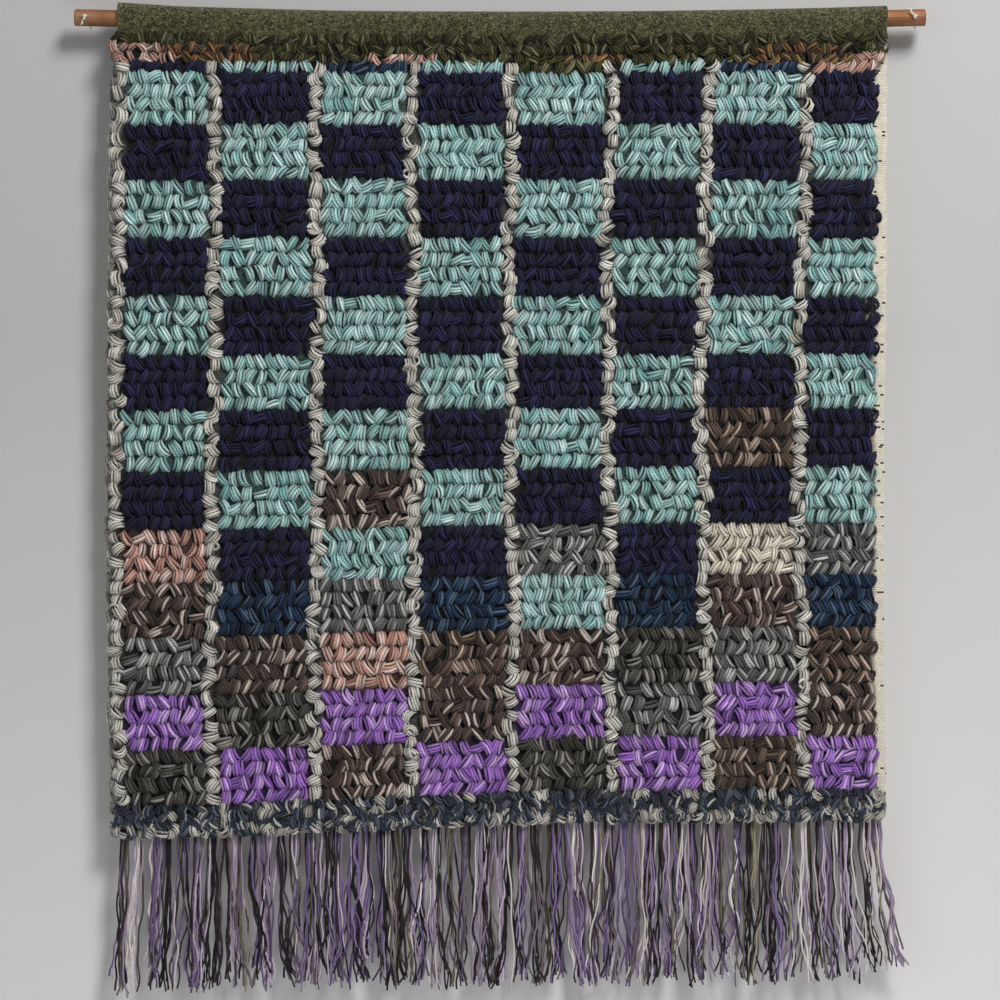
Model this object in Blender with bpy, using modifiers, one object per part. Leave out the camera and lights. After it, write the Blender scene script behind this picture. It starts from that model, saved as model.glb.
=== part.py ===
"""Loop-pile wall tapestry with a fringe, hung from a bowed copper rod by its turned-over top.

Metres, +Z up. The viewer stands at -Y, and +X is to the viewer's right. The origin lies midway
between the centres of the rod's two ends.
"""

import math
import random

import bmesh
import bpy
from mathutils import Matrix, Vector

# Clearance between neighbouring pieces
GAP = 0.0003

# Rod
ROD_LENGTH = 0.795
ROD_RADIUS = 0.00795
ROD_BOW = 0.005
ROD_RIM = 0.0008
ROD_STATIONS = 12
HOLE_INSET = 0.0105
HOLE_RADIUS = 0.0019

# Knots of the hanging line
KNOT_RADIUS = 0.0026
LINE_RADIUS = 0.0009
KNOT_STEPS = 10

# Ground cloth and its sleeve
CLOTH = 0.002
SLEEVE_EASE = 0.0006
SLEEVE_STEPS = 9
HEM_DROP = 0.042
HEM_GAP = 0.0005
HEM_ROWS = 3
SETTLE_DEPTH = 0.075
GROUND_BOTTOM = -0.7590

# Pile
PILE = 0.0110
PILE_LUMP = 0.0011
PILE_CHECK = 0.0014
ROW_GROOVE = 0.0036
BAR_GROOVE = 0.0028
FIRST_ROW_DIP = 0.0050
BAR_WIDTH = 0.0130
PILE_START = 0.0125
BLOCK_CELLS = 5
ROW_CELLS = 4
HEADING_CELLS = 3
BAND_CELLS = 4
BAND_BOTTOM = -0.7668
STEP_WIDTH = 0.0025
LOCK_INSET = 0.0022
SIDE_LOCK = 0.0040
LOW_LOCK = 0.0050

# Upright bars of the pile by their middles at half height, and where the pile ends at right
BAR_MIDDLES = (-0.3560, -0.2690, -0.1730, -0.0820, 0.0090, 0.1010, 0.1900, 0.2805)
PILE_RIGHT = 0.3480

# Levels of the lines above, between and below the rows of blocks
ROW_LINES = (
    -0.0500,
    -0.1005,
    -0.1519,
    -0.2062,
    -0.2604,
    -0.3156,
    -0.3670,
    -0.4250,
    -0.4792,
    -0.5278,
    -0.5793,
    -0.6335,
    -0.6849,
    -0.7363,
)

# Climb of the lowest row across the cloth: place, height. It starts at a level and grows down to that row
FOOT_CLIMB = (
    (-0.3625, 0.0),
    (-0.2755, 0.0018),
    (-0.1795, 0.0058),
    (-0.0885, 0.0096),
    (0.0025, 0.0127),
    (0.0945, 0.0148),
    (0.1835, 0.0160),
    (0.2740, 0.0165),
)
CLIMB_START = -0.3000

# Underside of the pile's last row, from its front to the cloth's lower edge: depth, height
UNDER = (
    (-0.0090, -0.7703),
    (-0.0045, -0.7688),
    (-0.0030, GROUND_BOTTOM),
)

# Side edges of the cloth: height, left edge, right edge
EDGES = (
    (0.020, -0.3560, 0.3610),
    (-0.080, -0.3590, 0.3615),
    (-0.260, -0.3610, 0.3605),
    (-0.450, -0.3625, 0.3585),
    (-0.620, -0.3610, 0.3585),
    (-0.760, -0.3580, 0.3610),
)

# Lift of the loose sleeve over the rod: place along the rod, height
SLEEVE_LIFT = (
    (-0.360, 0.0048),
    (-0.300, 0.0022),
    (-0.150, 0.0002),
    (0.150, 0.0),
    (0.300, 0.0006),
    (0.362, 0.0014),
)

# Fringe
BUNCHES = 52
BUNCH_STRANDS = 4
STRIP_HEIGHT = 0.0080
STRIP_GAP = 0.0005
STRIP_FRONT = -0.0022
STRIP_BACK = 0.0002
STRAND_WIDTH = 0.0022
STRAND_PARTS = 4
STRAND_TIP = 0.75
LAYER_SHIFT = 0.0019
WAIST = 0.60

# Fringe along the cloth: place, how far the tips lean to the right, height of the tips
FRINGE_FALL = (
    (-0.357, -0.0070, -0.9080),
    (-0.310, -0.0030, -0.9060),
    (-0.200, 0.0010, -0.9010),
    (0.000, -0.0010, -0.9020),
    (0.200, 0.0020, -0.9000),
    (0.310, 0.0060, -0.8960),
    (0.362, 0.0170, -0.8900),
)

# Colours by slot: red, green, blue, roughness, metallic
FINISHES = {
    "copper": (0.62, 0.30, 0.20, 0.35, 1.0),
    "line": (0.80, 0.79, 0.76, 0.30, 0.0),
    "pile": (0.22, 0.34, 0.34, 0.95, 0.0),
    "fringe": (0.30, 0.25, 0.34, 0.90, 0.0),
}


def between(table, place, column):
    """Value of a column of a table at a place along its first column, on straight runs."""
    rows = sorted(table)
    if place <= rows[0][0]:
        return rows[0][column]
    for low, high in zip(rows, rows[1:]):
        if place <= high[0]:
            share = (place - low[0]) / (high[0] - low[0])
            return low[column] + share * (high[column] - low[column])
    return rows[-1][column]


def rod_height(x):
    """Height of the bowed rod's axis at a place along it."""
    half = ROD_LENGTH / 2
    return -ROD_BOW * (1 - (x / half) ** 2)


def depth_wave(x, z):
    """How far the hanging cloth swings backwards at a point: soft upright folds that grow downwards."""
    drop = min(max(-z / 0.75, 0.0), 1.3)
    return drop * (0.0022 * math.sin(11.0 * x + 0.8) + 0.0010 * math.sin(27.0 * x - 1.1))


def meander(x, z):
    """Sideways wander of the pile's bars and blocks."""
    inside = min(max((0.34 - abs(x)) / 0.06, 0.0), 1.0)
    return inside * (0.0026 * math.sin(9.0 * z + 7.0 * x) + 0.0014 * math.sin(31.0 * z - 19.0 * x))


def clear_scene():
    """Removes every object, so that the script starts from an empty scene."""
    for thing in list(bpy.data.objects):
        bpy.data.objects.remove(thing, do_unlink=True)


def new_collection(name):
    """A collection of the scene."""
    collection = bpy.data.collections.new(name)
    bpy.context.scene.collection.children.link(collection)
    return collection


def finish(slot):
    """Principled material of a slot."""
    red, green, blue, roughness, metallic = FINISHES[slot]
    material = bpy.data.materials.new(slot)
    material.use_nodes = True
    shader = material.node_tree.nodes["Principled BSDF"]
    shader.inputs["Base Color"].default_value = (red, green, blue, 1.0)
    shader.inputs["Roughness"].default_value = roughness
    shader.inputs["Metallic"].default_value = metallic
    return material


def add_object(name, mesh, material, collection):
    """An object of the mesh, in a collection, with its material and smooth shading."""
    thing = bpy.data.objects.new(name, mesh)
    collection.objects.link(thing)
    mesh.materials.append(material)
    mesh.shade_smooth()
    mesh.set_sharp_from_angle(angle=math.radians(50))
    return thing


def mesh_from(bm, name):
    """A mesh of the finished bmesh, its faces pointing out."""
    bmesh.ops.recalc_face_normals(bm, faces=bm.faces)
    mesh = bpy.data.meshes.new(name)
    bm.to_mesh(mesh)
    bm.free()
    return mesh


def rod_curve(name, collection):
    """The bowed rod as a bevelled curve whose ends are drawn in to a soft rim."""
    half = ROD_LENGTH / 2
    places = [-half, -half + ROD_RIM]
    places += [-half + ROD_LENGTH * i / ROD_STATIONS for i in range(1, ROD_STATIONS)]
    places += [half - ROD_RIM, half]
    data = bpy.data.curves.new(name, "CURVE")
    data.dimensions = "3D"
    data.bevel_depth = ROD_RADIUS
    data.bevel_resolution = 8
    data.use_fill_caps = True
    spline = data.splines.new("POLY")
    spline.points.add(len(places) - 1)
    for point, x in zip(spline.points, places):
        point.co = (x, 0, rod_height(x), 1)
    for end in (spline.points[0], spline.points[-1]):
        end.radius = 1 - ROD_RIM / ROD_RADIUS
    curve = bpy.data.objects.new(name, data)
    collection.objects.link(curve)
    return curve


def welded_mesh(curve, name):
    """The curve as a mesh with its caps welded on. The curve is removed."""
    bpy.context.view_layer.update()
    graph = bpy.context.evaluated_depsgraph_get()
    mesh = bpy.data.meshes.new_from_object(curve.evaluated_get(graph))
    mesh.name = name
    bm = bmesh.new()
    bm.from_mesh(mesh)
    bmesh.ops.remove_doubles(bm, verts=bm.verts, dist=0.00001)
    bm.to_mesh(mesh)
    bm.free()
    bpy.data.objects.remove(curve, do_unlink=True)
    return mesh


def hole_place(side):
    """Middle of the drilled hole at the left (-1) or right (1) end."""
    x = side * (ROD_LENGTH / 2 - HOLE_INSET)
    return Vector((x, 0, rod_height(x)))


def drill(side, cutters):
    """Cutter of the hole that runs across the rod from front to back."""
    mesh = bpy.data.meshes.new("drill")
    bm = bmesh.new()
    bmesh.ops.create_cone(
        bm,
        cap_ends=True,
        segments=12,
        radius1=HOLE_RADIUS,
        radius2=HOLE_RADIUS,
        depth=4 * ROD_RADIUS,
        matrix=Matrix.Rotation(math.radians(90), 4, "X"),
    )
    bm.to_mesh(mesh)
    bm.free()
    cutter = bpy.data.objects.new("drill", mesh)
    cutter.location = hole_place(side)
    cutter.hide_render = True
    cutter.display_type = "WIRE"
    cutters.objects.link(cutter)
    return cutter


def make_rod(parts, cutters):
    """Copper rod with a hole across each end."""
    curve = rod_curve("hanging_rod_axis", parts)
    rod = add_object("hanging_rod", welded_mesh(curve, "hanging_rod"), finish("copper"), parts)
    for side in (-1, 1):
        hole = rod.modifiers.new("hole", "BOOLEAN")
        hole.operation = "DIFFERENCE"
        hole.solver = "EXACT"
        hole.object = drill(side, cutters)


def knot_profile():
    """Radius and place along the hole of a knot at the front, the line and a knot at the back."""
    reach = ROD_RADIUS + math.sqrt((KNOT_RADIUS + GAP) ** 2 - HOLE_RADIUS**2)
    turns = [math.radians(a) for a in (25, 55, 90, 125, 150)]
    front = [(KNOT_RADIUS * math.sin(a), reach + KNOT_RADIUS * math.cos(a)) for a in turns]
    shank = [(LINE_RADIUS, reach - 0.9 * KNOT_RADIUS)]
    half = [(0.0, reach + KNOT_RADIUS)] + front + shank
    return half + [(radius, -along) for radius, along in reversed(half)]


def make_knot(side, name, parts):
    """Knotted end of the hanging line, turned about the axis of its hole."""
    mesh = bpy.data.meshes.new(name)
    bm = bmesh.new()
    points = [bm.verts.new((radius, 0, along)) for radius, along in knot_profile()]
    for start, end in zip(points, points[1:]):
        bm.edges.new((start, end))
    bm.to_mesh(mesh)
    bm.free()
    knot = add_object(name, mesh, finish("line"), parts)
    knot.location = hole_place(side)
    knot.rotation_euler = (math.radians(90), 0, 0)
    turn = knot.modifiers.new("turn", "SCREW")
    turn.axis = "Z"
    turn.steps = KNOT_STEPS
    turn.render_steps = KNOT_STEPS
    turn.use_merge_vertices = True
    turn.merge_threshold = 0.00001
    turn.use_smooth_shade = True


def column_places():
    """Places across the cloth at half height: each bar, the cells of the block after it, the bare edge."""
    places = []
    ends = [middle - BAR_WIDTH / 2 for middle in BAR_MIDDLES[1:]] + [PILE_RIGHT]
    for middle, end in zip(BAR_MIDDLES, ends):
        start = middle + BAR_WIDTH / 2
        places.append(middle - BAR_WIDTH / 2)
        places += [start + (end - start) * i / BLOCK_CELLS for i in range(BLOCK_CELLS)]
    return places + [PILE_RIGHT, PILE_RIGHT + STEP_WIDTH, between(EDGES, -0.4, 2)]


def row_stations():
    """Stations of the cloth from the hem behind the rod to its lower edge, as (kind, value) pairs."""
    rows = [("hem", i / HEM_ROWS) for i in range(HEM_ROWS)]
    rows += [("turn", math.pi * i / SLEEVE_STEPS) for i in range(SLEEVE_STEPS + 1)]
    rows += [("bare", -PILE_START + 0.0008)]
    heading = ROW_LINES[0] + PILE_START
    rows += [("pile", -PILE_START + heading * i / HEADING_CELLS) for i in range(HEADING_CELLS)]
    for top, bottom in zip(ROW_LINES, ROW_LINES[1:]):
        rows += [("pile", top + (bottom - top) * i / ROW_CELLS) for i in range(ROW_CELLS)]
    foot = ROW_LINES[-1]
    rows += [("pile", foot + (BAND_BOTTOM - foot) * i / BAND_CELLS) for i in range(BAND_CELLS + 1)]
    return rows + [("under", 0), ("under", 1), ("under", 2)]


def side_shift(x, z):
    """Moves a place across the cloth so that the cloth keeps its side edges at a height."""
    half_left = between(EDGES, -0.4, 1)
    half_right = between(EDGES, -0.4, 2)
    share = (x - half_left) / (half_right - half_left)
    left = between(EDGES, z, 1)
    right = between(EDGES, z, 2)
    return left + share * (right - left) + meander(x, z) - x


def back_depth(level):
    """Depth of the cloth's back at a level under the rod's axis, where it closes in from the rod's front."""
    inner = ROD_RADIUS + SLEEVE_EASE
    share = min(max(-level / HEM_DROP, 0.0), 1.0)
    return -inner * (1 - share)


def climb(x, level):
    """How much higher a level lies at a place than at the left edge: the lower rows climb to the right."""
    share = (CLIMB_START - level) / (CLIMB_START - ROW_LINES[-1])
    return between(FOOT_CLIMB, x, 1) * min(max(share, 0.0), 1.0)


def settled(x, level):
    """Height of a level: it follows the bowed rod at the top, and climbs to the right further down."""
    share = min(max(1 + level / SETTLE_DEPTH, 0.0), 1.0)
    return level + rod_height(x) * share + climb(x, level)


def lump(column, row):
    """Height that the pile gains or loses at a station: locks by turns high and low, and uneven."""
    chance = random.Random(1009 * column + row)
    turn = 1 if (column + row) % 2 else -1
    return turn * PILE_CHECK + chance.uniform(-PILE_LUMP, PILE_LUMP)


def pile_height(column, row, level, columns):
    """Height of the pile over the ground cloth at a station."""
    if column >= columns - 2:
        return 0.0
    height = PILE + lump(column, row)
    if level in ROW_LINES:
        height -= ROW_GROOVE
    elif column % (BLOCK_CELLS + 1) == 1:
        height -= BAR_GROOVE
    if level > -PILE_START - 0.001:
        height -= FIRST_ROW_DIP
    return height


def cloth_point(station, x, column, row, columns, outer):
    """A point of the cloth's outer face, or of its inner one, at a station and a place across it."""
    kind, value = station
    inner_radius = ROD_RADIUS + SLEEVE_EASE
    radius = inner_radius + (CLOTH if outer else 0.0)
    if kind == "turn":
        wide = x + side_shift(x, 0.0)
        lift = between(SLEEVE_LIFT, wide, 1)
        rise = radius + lift * max(math.sin(value), 0.0)
        return Vector((wide, radius * math.cos(value), rod_height(wide) + rise * math.sin(value)))
    if kind == "hem":
        level = -HEM_DROP * (1 - value)
        wide = x + side_shift(x, level)
        depth = HEM_GAP + (inner_radius - HEM_GAP) * value + (CLOTH if outer else 0.0)
        z = settled(wide, level)
        return Vector((wide, depth + depth_wave(wide, z), z))
    if kind == "under":
        depth, z = UNDER[value]
        wide = x + side_shift(x, z)
        if not outer:
            depth, z = 0.0, GROUND_BOTTOM
        elif column >= columns - 2:
            depth, z = -CLOTH, GROUND_BOTTOM + 0.0002 * (2 - value)
        z += climb(wide, z)
        return Vector((wide, depth + depth_wave(wide, z), z))
    wide = x + side_shift(x, value)
    z = settled(wide, value)
    if column >= columns - 2 or not outer:
        z = max(z, GROUND_BOTTOM + climb(wide, GROUND_BOTTOM) + 0.002)
    depth = back_depth(value)
    if outer:
        depth -= CLOTH
        depth -= pile_height(column, row, value, columns) if kind == "pile" else 0.0
    return Vector((wide, depth + depth_wave(wide, z), z))


def plain_rows(rows):
    """Rows that the cloth's plain inner face keeps: all of the sleeve, and the block lines below it."""
    kept = [i for i, (kind, _) in enumerate(rows) if kind in ("hem", "turn", "bare")]
    body = kept[-1] + 1 + HEADING_CELLS
    kept += [body + ROW_CELLS * i for i in range(len(ROW_LINES))]
    return kept + [len(rows) - 1]


def push_locks(bm, faces, move):
    """Insets each face by itself and pushes its middle out as a lock of the pile."""
    bmesh.ops.inset_individual(bm, faces=faces, thickness=LOCK_INSET, use_even_offset=True)
    for face in faces:
        bmesh.ops.translate(bm, verts=face.verts, vec=move)


def make_panel(parts):
    """The woven cloth: hem, sleeve over the rod, and the lumpy slab of its pile."""
    rows = row_stations()
    places = column_places()
    columns = len(places)
    last = len(rows) - 1
    bm = bmesh.new()
    outer = [
        [bm.verts.new(cloth_point(station, x, c, r, columns, True)) for r, station in enumerate(rows)]
        for c, x in enumerate(places)
    ]
    kept_rows = plain_rows(rows)
    kept_columns = list(range(0, columns - 3, BLOCK_CELLS + 1)) + [columns - 1]
    inner = {
        (c, r): bm.verts.new(cloth_point(rows[r], places[c], c, r, columns, False))
        for c in kept_columns
        for r in kept_rows
    }
    cells = {}
    for c in range(columns - 1):
        for r in range(last):
            corners = (outer[c][r], outer[c + 1][r], outer[c + 1][r + 1], outer[c][r + 1])
            cells[c, r] = bm.faces.new(corners)
    for c0, c1 in zip(kept_columns, kept_columns[1:]):
        for r0, r1 in zip(kept_rows, kept_rows[1:]):
            bm.faces.new((inner[c0, r0], inner[c0, r1], inner[c1, r1], inner[c1, r0]))
    for c in (0, columns - 1):
        for r0, r1 in zip(kept_rows, kept_rows[1:]):
            rim = [outer[c][r] for r in range(r0, r1 + 1)]
            bm.faces.new(rim + [inner[c, r1], inner[c, r0]])
    for r in (0, last):
        for c0, c1 in zip(kept_columns, kept_columns[1:]):
            rim = [outer[c][r] for c in range(c0, c1 + 1)]
            bm.faces.new(rim + [inner[c1, r], inner[c0, r]])
    bmesh.ops.recalc_face_normals(bm, faces=bm.faces)
    piled = [r for r in range(last) if rows[r][0] == rows[r + 1][0] == "pile"]
    push_locks(bm, [cells[0, r] for r in piled[HEADING_CELLS:-1]], (-SIDE_LOCK, -0.0010, 0))
    push_locks(bm, [cells[c, piled[-1]] for c in range(columns - 3)], (0, -0.0010, -LOW_LOCK))
    add_object("shag_panel", mesh_from(bm, "shag_panel"), finish("pile"), parts)


def strand_path(place, number, bunch):
    """Middles of a strand's sections from its root down, as (x, y, z, width share) rows."""
    chance = random.Random(7001 + 31 * bunch + number)
    together = random.Random(4001 + bunch)
    lean = between(FRINGE_FALL, place, 1) + together.uniform(-0.0013, 0.0013)
    tips = between(FRINGE_FALL, place, 2) + together.uniform(-0.004, 0.004)
    top = GROUND_BOTTOM - STRIP_GAP - STRIP_HEIGHT + climb(place, GROUND_BOTTOM)
    length = top - tips - chance.uniform(0.0, 0.012)
    slot = spread_of(number)
    layer = LAYER_SHIFT if number % 2 else -LAYER_SHIFT
    swing = together.uniform(-0.0010, 0.0010)
    path = []
    for part in range(1, STRAND_PARTS + 1):
        t = part / STRAND_PARTS
        waist = 1 - (1 - WAIST) * math.sin(math.pi * min(t / 0.8, 1.0) ** 0.7)
        wave = swing * math.sin(5.2 * t) + chance.uniform(-0.0006, 0.0006)
        x = place + slot * waist + lean * t**1.5 + wave
        z = top - length * t
        y = (STRIP_FRONT + STRIP_BACK) / 2 + layer * min(2.5 * t, 1.0)
        y += depth_wave(x, z) + chance.uniform(-0.0003, 0.0003)
        path.append((x, y, z, 1 - (1 - STRAND_TIP) * t))
    return path


def fringe_span():
    """Left and right ends of the strip."""
    return between(EDGES, GROUND_BOTTOM, 1) + 0.002, between(EDGES, GROUND_BOTTOM, 2) - 0.002


def spread_of(number):
    """How far a strand's root lies from the middle of its bunch."""
    left, right = fringe_span()
    pitch = (right - left) / (BUNCHES * BUNCH_STRANDS)
    return (number - (BUNCH_STRANDS - 1) / 2) * pitch


def make_strip(bm, left, pitch, bunch, corners):
    """Adds the strip over one bunch. Returns the root triangles of its strands and its right-hand corners."""
    low = GROUND_BOTTOM - STRIP_GAP - STRIP_HEIGHT
    high = GROUND_BOTTOM - STRIP_GAP
    start = left + bunch * pitch * BUNCH_STRANDS
    end = start + pitch * BUNCH_STRANDS

    def vert(x, y, z):
        return bm.verts.new((x, y + depth_wave(x, GROUND_BOTTOM), z + climb(x, GROUND_BOTTOM)))

    if corners is None:
        corners = [vert(start, y, z) for y in (STRIP_FRONT, STRIP_BACK) for z in (low, high)]
    front_low, front_high, back_low, back_high = corners
    front, back, roots = [front_low], [back_low], []
    for number in range(BUNCH_STRANDS):
        middle = start + (number + 0.5) * pitch
        near = [vert(middle + s * STRAND_WIDTH / 2, STRIP_FRONT, low) for s in (-1, 1)]
        far = vert(middle, STRIP_BACK, low)
        roots.append(bm.faces.new((near[0], far, near[1])))
        bm.faces.new((front[-1], back[-1], far, near[0]))
        front += near
        back.append(far)
    after = [vert(end, y, z) for y in (STRIP_FRONT, STRIP_BACK) for z in (low, high)]
    bm.faces.new((front[-1], back[-1], after[2], after[0]))
    bm.faces.new(front + [after[0], after[1], front_high])
    bm.faces.new(list(reversed(back)) + [back_high, after[3], after[2]])
    bm.faces.new((front_high, after[1], after[3], back_high))
    return roots, corners, after


def grow_strand(bm, root, path):
    """Extrudes a strand from its root triangle through the sections of its path."""
    face = root
    offsets = [vert.co - face.calc_center_median() for vert in face.verts]
    for x, y, z, share in path:
        grown = bmesh.ops.extrude_discrete_faces(bm, faces=[face])
        face = grown["faces"][0]
        for vert, offset in zip(face.verts, offsets):
            vert.co = Vector((x, y, z)) + Vector((offset.x, offset.y, 0)) * share


def make_fringe(parts):
    """Strands in bunches, fused at their roots into the narrow strip under the cloth."""
    left, right = fringe_span()
    pitch = (right - left) / (BUNCHES * BUNCH_STRANDS)
    bm = bmesh.new()
    corners = None
    first = None
    strands = []
    for bunch in range(BUNCHES):
        roots, before, corners = make_strip(bm, left, pitch, bunch, corners)
        first = first or before
        place = left + (bunch + 0.5) * pitch * BUNCH_STRANDS
        strands += [(root, strand_path(place, number, bunch)) for number, root in enumerate(roots)]
    for low_front, high_front, low_back, high_back in (first, corners):
        bm.faces.new((low_front, high_front, high_back, low_back))
    for root, path in strands:
        grow_strand(bm, root, path)
    add_object("fringe", mesh_from(bm, "fringe"), finish("fringe"), parts)


def main():
    """Makes every piece of the tapestry."""
    clear_scene()
    parts = new_collection("shag_tapestry")
    cutters = new_collection("cutters")
    make_rod(parts, cutters)
    make_knot(-1, "line_knot_left", parts)
    make_knot(1, "line_knot_right", parts)
    make_panel(parts)
    make_fringe(parts)


main()
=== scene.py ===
"""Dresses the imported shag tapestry: its copper rod, sleeve, ground cloth, loop pile and fringe.

Metres, +Z up. The viewer stands at -Y, and +X is to the viewer's right. The origin lies midway
between the centres of the rod's two ends.
"""

import logging
import math
from dataclasses import dataclass, field, replace
from enum import Enum

import bmesh
import bpy
import numpy as np
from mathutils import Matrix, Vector


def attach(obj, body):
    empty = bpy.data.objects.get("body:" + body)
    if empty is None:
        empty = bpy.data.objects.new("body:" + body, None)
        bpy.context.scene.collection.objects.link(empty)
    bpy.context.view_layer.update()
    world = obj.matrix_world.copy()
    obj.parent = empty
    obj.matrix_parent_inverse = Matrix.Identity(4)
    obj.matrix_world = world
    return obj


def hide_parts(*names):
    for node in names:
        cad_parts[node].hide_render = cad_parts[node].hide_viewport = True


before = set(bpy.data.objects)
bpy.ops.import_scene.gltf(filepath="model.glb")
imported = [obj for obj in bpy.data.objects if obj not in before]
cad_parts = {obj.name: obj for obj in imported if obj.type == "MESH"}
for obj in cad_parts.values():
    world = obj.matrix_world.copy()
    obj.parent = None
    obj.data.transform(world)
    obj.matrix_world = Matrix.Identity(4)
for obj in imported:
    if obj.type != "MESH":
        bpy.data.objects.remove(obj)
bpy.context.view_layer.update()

LOG = logging.getLogger("tapestry")
BODY = "root"
Array = np.ndarray
Colour = tuple[float, float, float]
Point = tuple[float, float, float]


def rgba(colour: Colour) -> tuple[float, float, float, float]:
    """A colour with full alpha."""
    return (*colour, 1.0)


def add_object(name: str, data: bpy.types.ID) -> bpy.types.Object:
    """Adds an object to the scene."""
    made = bpy.data.objects.new(name, data)
    bpy.context.scene.collection.objects.link(made)
    return made


class Yarn(Enum):
    """Yarns of the pile and the fringe."""

    MINT = "mint"
    NAVY = "navy"
    BAR_CREAM = "bar_cream"
    BROWN_MARL = "brown_marl"
    OAT_MARL = "oat_marl"
    GREY_MARL = "grey_marl"
    ROSE = "rose"
    CREAM = "cream"
    TEAL = "teal"
    PURPLE = "purple"
    MOSS = "moss"
    OLIVE = "olive"
    RUST = "rust"
    BAND = "band"
    LILAC = "lilac"
    VIOLET = "violet"
    ECRU = "ecru"
    INK = "ink"
    SLATE = "slate"
    LINE = "line"


@dataclass(frozen=True)
class Wave:
    """A soft wave over the cloth: its size, how fast it turns across and down the cloth, and its start."""

    size: float
    across: float
    down: float
    start: float = 0.0

    def at(self, x: Array, z: Array) -> Array:
        """The wave's height at places and levels."""
        return self.size * np.sin(self.across * x + self.down * z + self.start)


@dataclass(frozen=True)
class ClothPlan:
    """Shape of the hanging cloth, from the same sizes as its solids.

    A place is where a line across the cloth lies at half height. A level is a height before the
    cloth follows the rod's bow.
    """

    rod_length: float = 0.795
    rod_radius: float = 0.00795
    rod_bow: float = 0.005
    hole_inset: float = 0.0105
    cloth: float = 0.002
    sleeve_ease: float = 0.0006
    hem_drop: float = 0.042
    hem_gap: float = 0.0005
    settle_depth: float = 0.075
    ground_bottom: float = -0.7590
    half_height: float = -0.4
    pile_right: float = 0.3480
    bar_width: float = 0.0130
    climb_start: float = -0.3000
    climb_full: float = -0.7363
    climb_places: tuple[float, ...] = (
        -0.3625, -0.2755, -0.1795, -0.0885, 0.0025, 0.0945, 0.1835, 0.2740,
    )
    climb_heights: tuple[float, ...] = (
        0.0, 0.0018, 0.0058, 0.0096, 0.0127, 0.0148, 0.0160, 0.0165,
    )
    bars: tuple[float, ...] = (-0.3575, -0.2690, -0.1730, -0.0820, 0.0090, 0.1010, 0.1900, 0.2805)
    heights: tuple[float, ...] = (-0.760, -0.620, -0.450, -0.260, -0.080, 0.020)
    lefts: tuple[float, ...] = (-0.3580, -0.3610, -0.3625, -0.3610, -0.3590, -0.3560)
    rights: tuple[float, ...] = (0.3610, 0.3585, 0.3585, 0.3605, 0.3615, 0.3610)
    lift_places: tuple[float, ...] = (-0.360, -0.300, -0.150, 0.150, 0.300, 0.362)
    lift_heights: tuple[float, ...] = (0.0048, 0.0022, 0.0002, 0.0, 0.0006, 0.0014)
    folds: tuple[Wave, ...] = (Wave(0.0022, 11.0, 0.0, 0.8), Wave(0.0010, 27.0, 0.0, -1.1))
    fold_depth: float = 0.75
    fold_most: float = 1.3
    wanders: tuple[Wave, ...] = (Wave(0.0026, 7.0, 9.0), Wave(0.0014, -19.0, 31.0))
    wander_end: float = 0.34
    wander_fade: float = 0.06

    def left(self, z: Array) -> Array:
        """Left edge of the cloth at a height."""
        return np.interp(z, self.heights, self.lefts)

    def right(self, z: Array) -> Array:
        """Right edge of the cloth at a height."""
        return np.interp(z, self.heights, self.rights)

    def rod_height(self, x: Array) -> Array:
        """Height of the bowed rod's axis at a place along it."""
        return -self.rod_bow * (1 - (x / (self.rod_length / 2)) ** 2)

    def swing(self, x: Array, z: Array) -> Array:
        """How far the cloth swings backwards: soft upright folds that grow downwards."""
        drop = np.clip(-z / self.fold_depth, 0.0, self.fold_most)
        return drop * sum(wave.at(x, z) for wave in self.folds)

    def wander(self, x: Array, z: Array) -> Array:
        """Sideways wander of the pile's bars and blocks."""
        inside = np.clip((self.wander_end - np.abs(x)) / self.wander_fade, 0.0, 1.0)
        return inside * sum(wave.at(x, z) for wave in self.wanders)

    def across(self, place: Array, z: Array) -> Array:
        """Where a place lies at a height, between the cloth's side edges there."""
        left = self.left(self.half_height)
        share = (place - left) / (self.right(self.half_height) - left)
        return self.left(z) + share * (self.right(z) - self.left(z)) + self.wander(place, z)

    def settled(self, x: Array, level: Array) -> Array:
        """Height of a level: it follows the bowed rod at the top, and climbs to the right further down."""
        bowed = self.rod_height(x) * np.clip(1 + level / self.settle_depth, 0.0, 1.0)
        return level + bowed + self.climb(x, level)

    def climb(self, x: Array, level: Array) -> Array:
        """How much higher a level lies at a place than at the left edge."""
        share = np.clip((self.climb_start - level) / (self.climb_start - self.climb_full), 0.0, 1.0)
        return np.interp(x, self.climb_places, self.climb_heights) * share

    def back_depth(self, level: Array) -> Array:
        """Depth of the cloth's back, which closes in from the rod's front to the wall side."""
        inner = self.rod_radius + self.sleeve_ease
        return -inner * (1 - np.clip(-level / self.hem_drop, 0.0, 1.0))

    def front(self, place: Array, level: Array) -> Array:
        """Points of the cloth's front at places and levels.

        Args:
            place: Places across the cloth.
            level: Levels, as many as the places.

        Returns:
            Points, with their coordinates along the last axis.
        """
        x = self.across(place, level)
        z = self.settled(x, level)
        return np.stack([x, self.back_depth(level) - self.cloth + self.swing(x, z), z], axis=-1)


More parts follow.
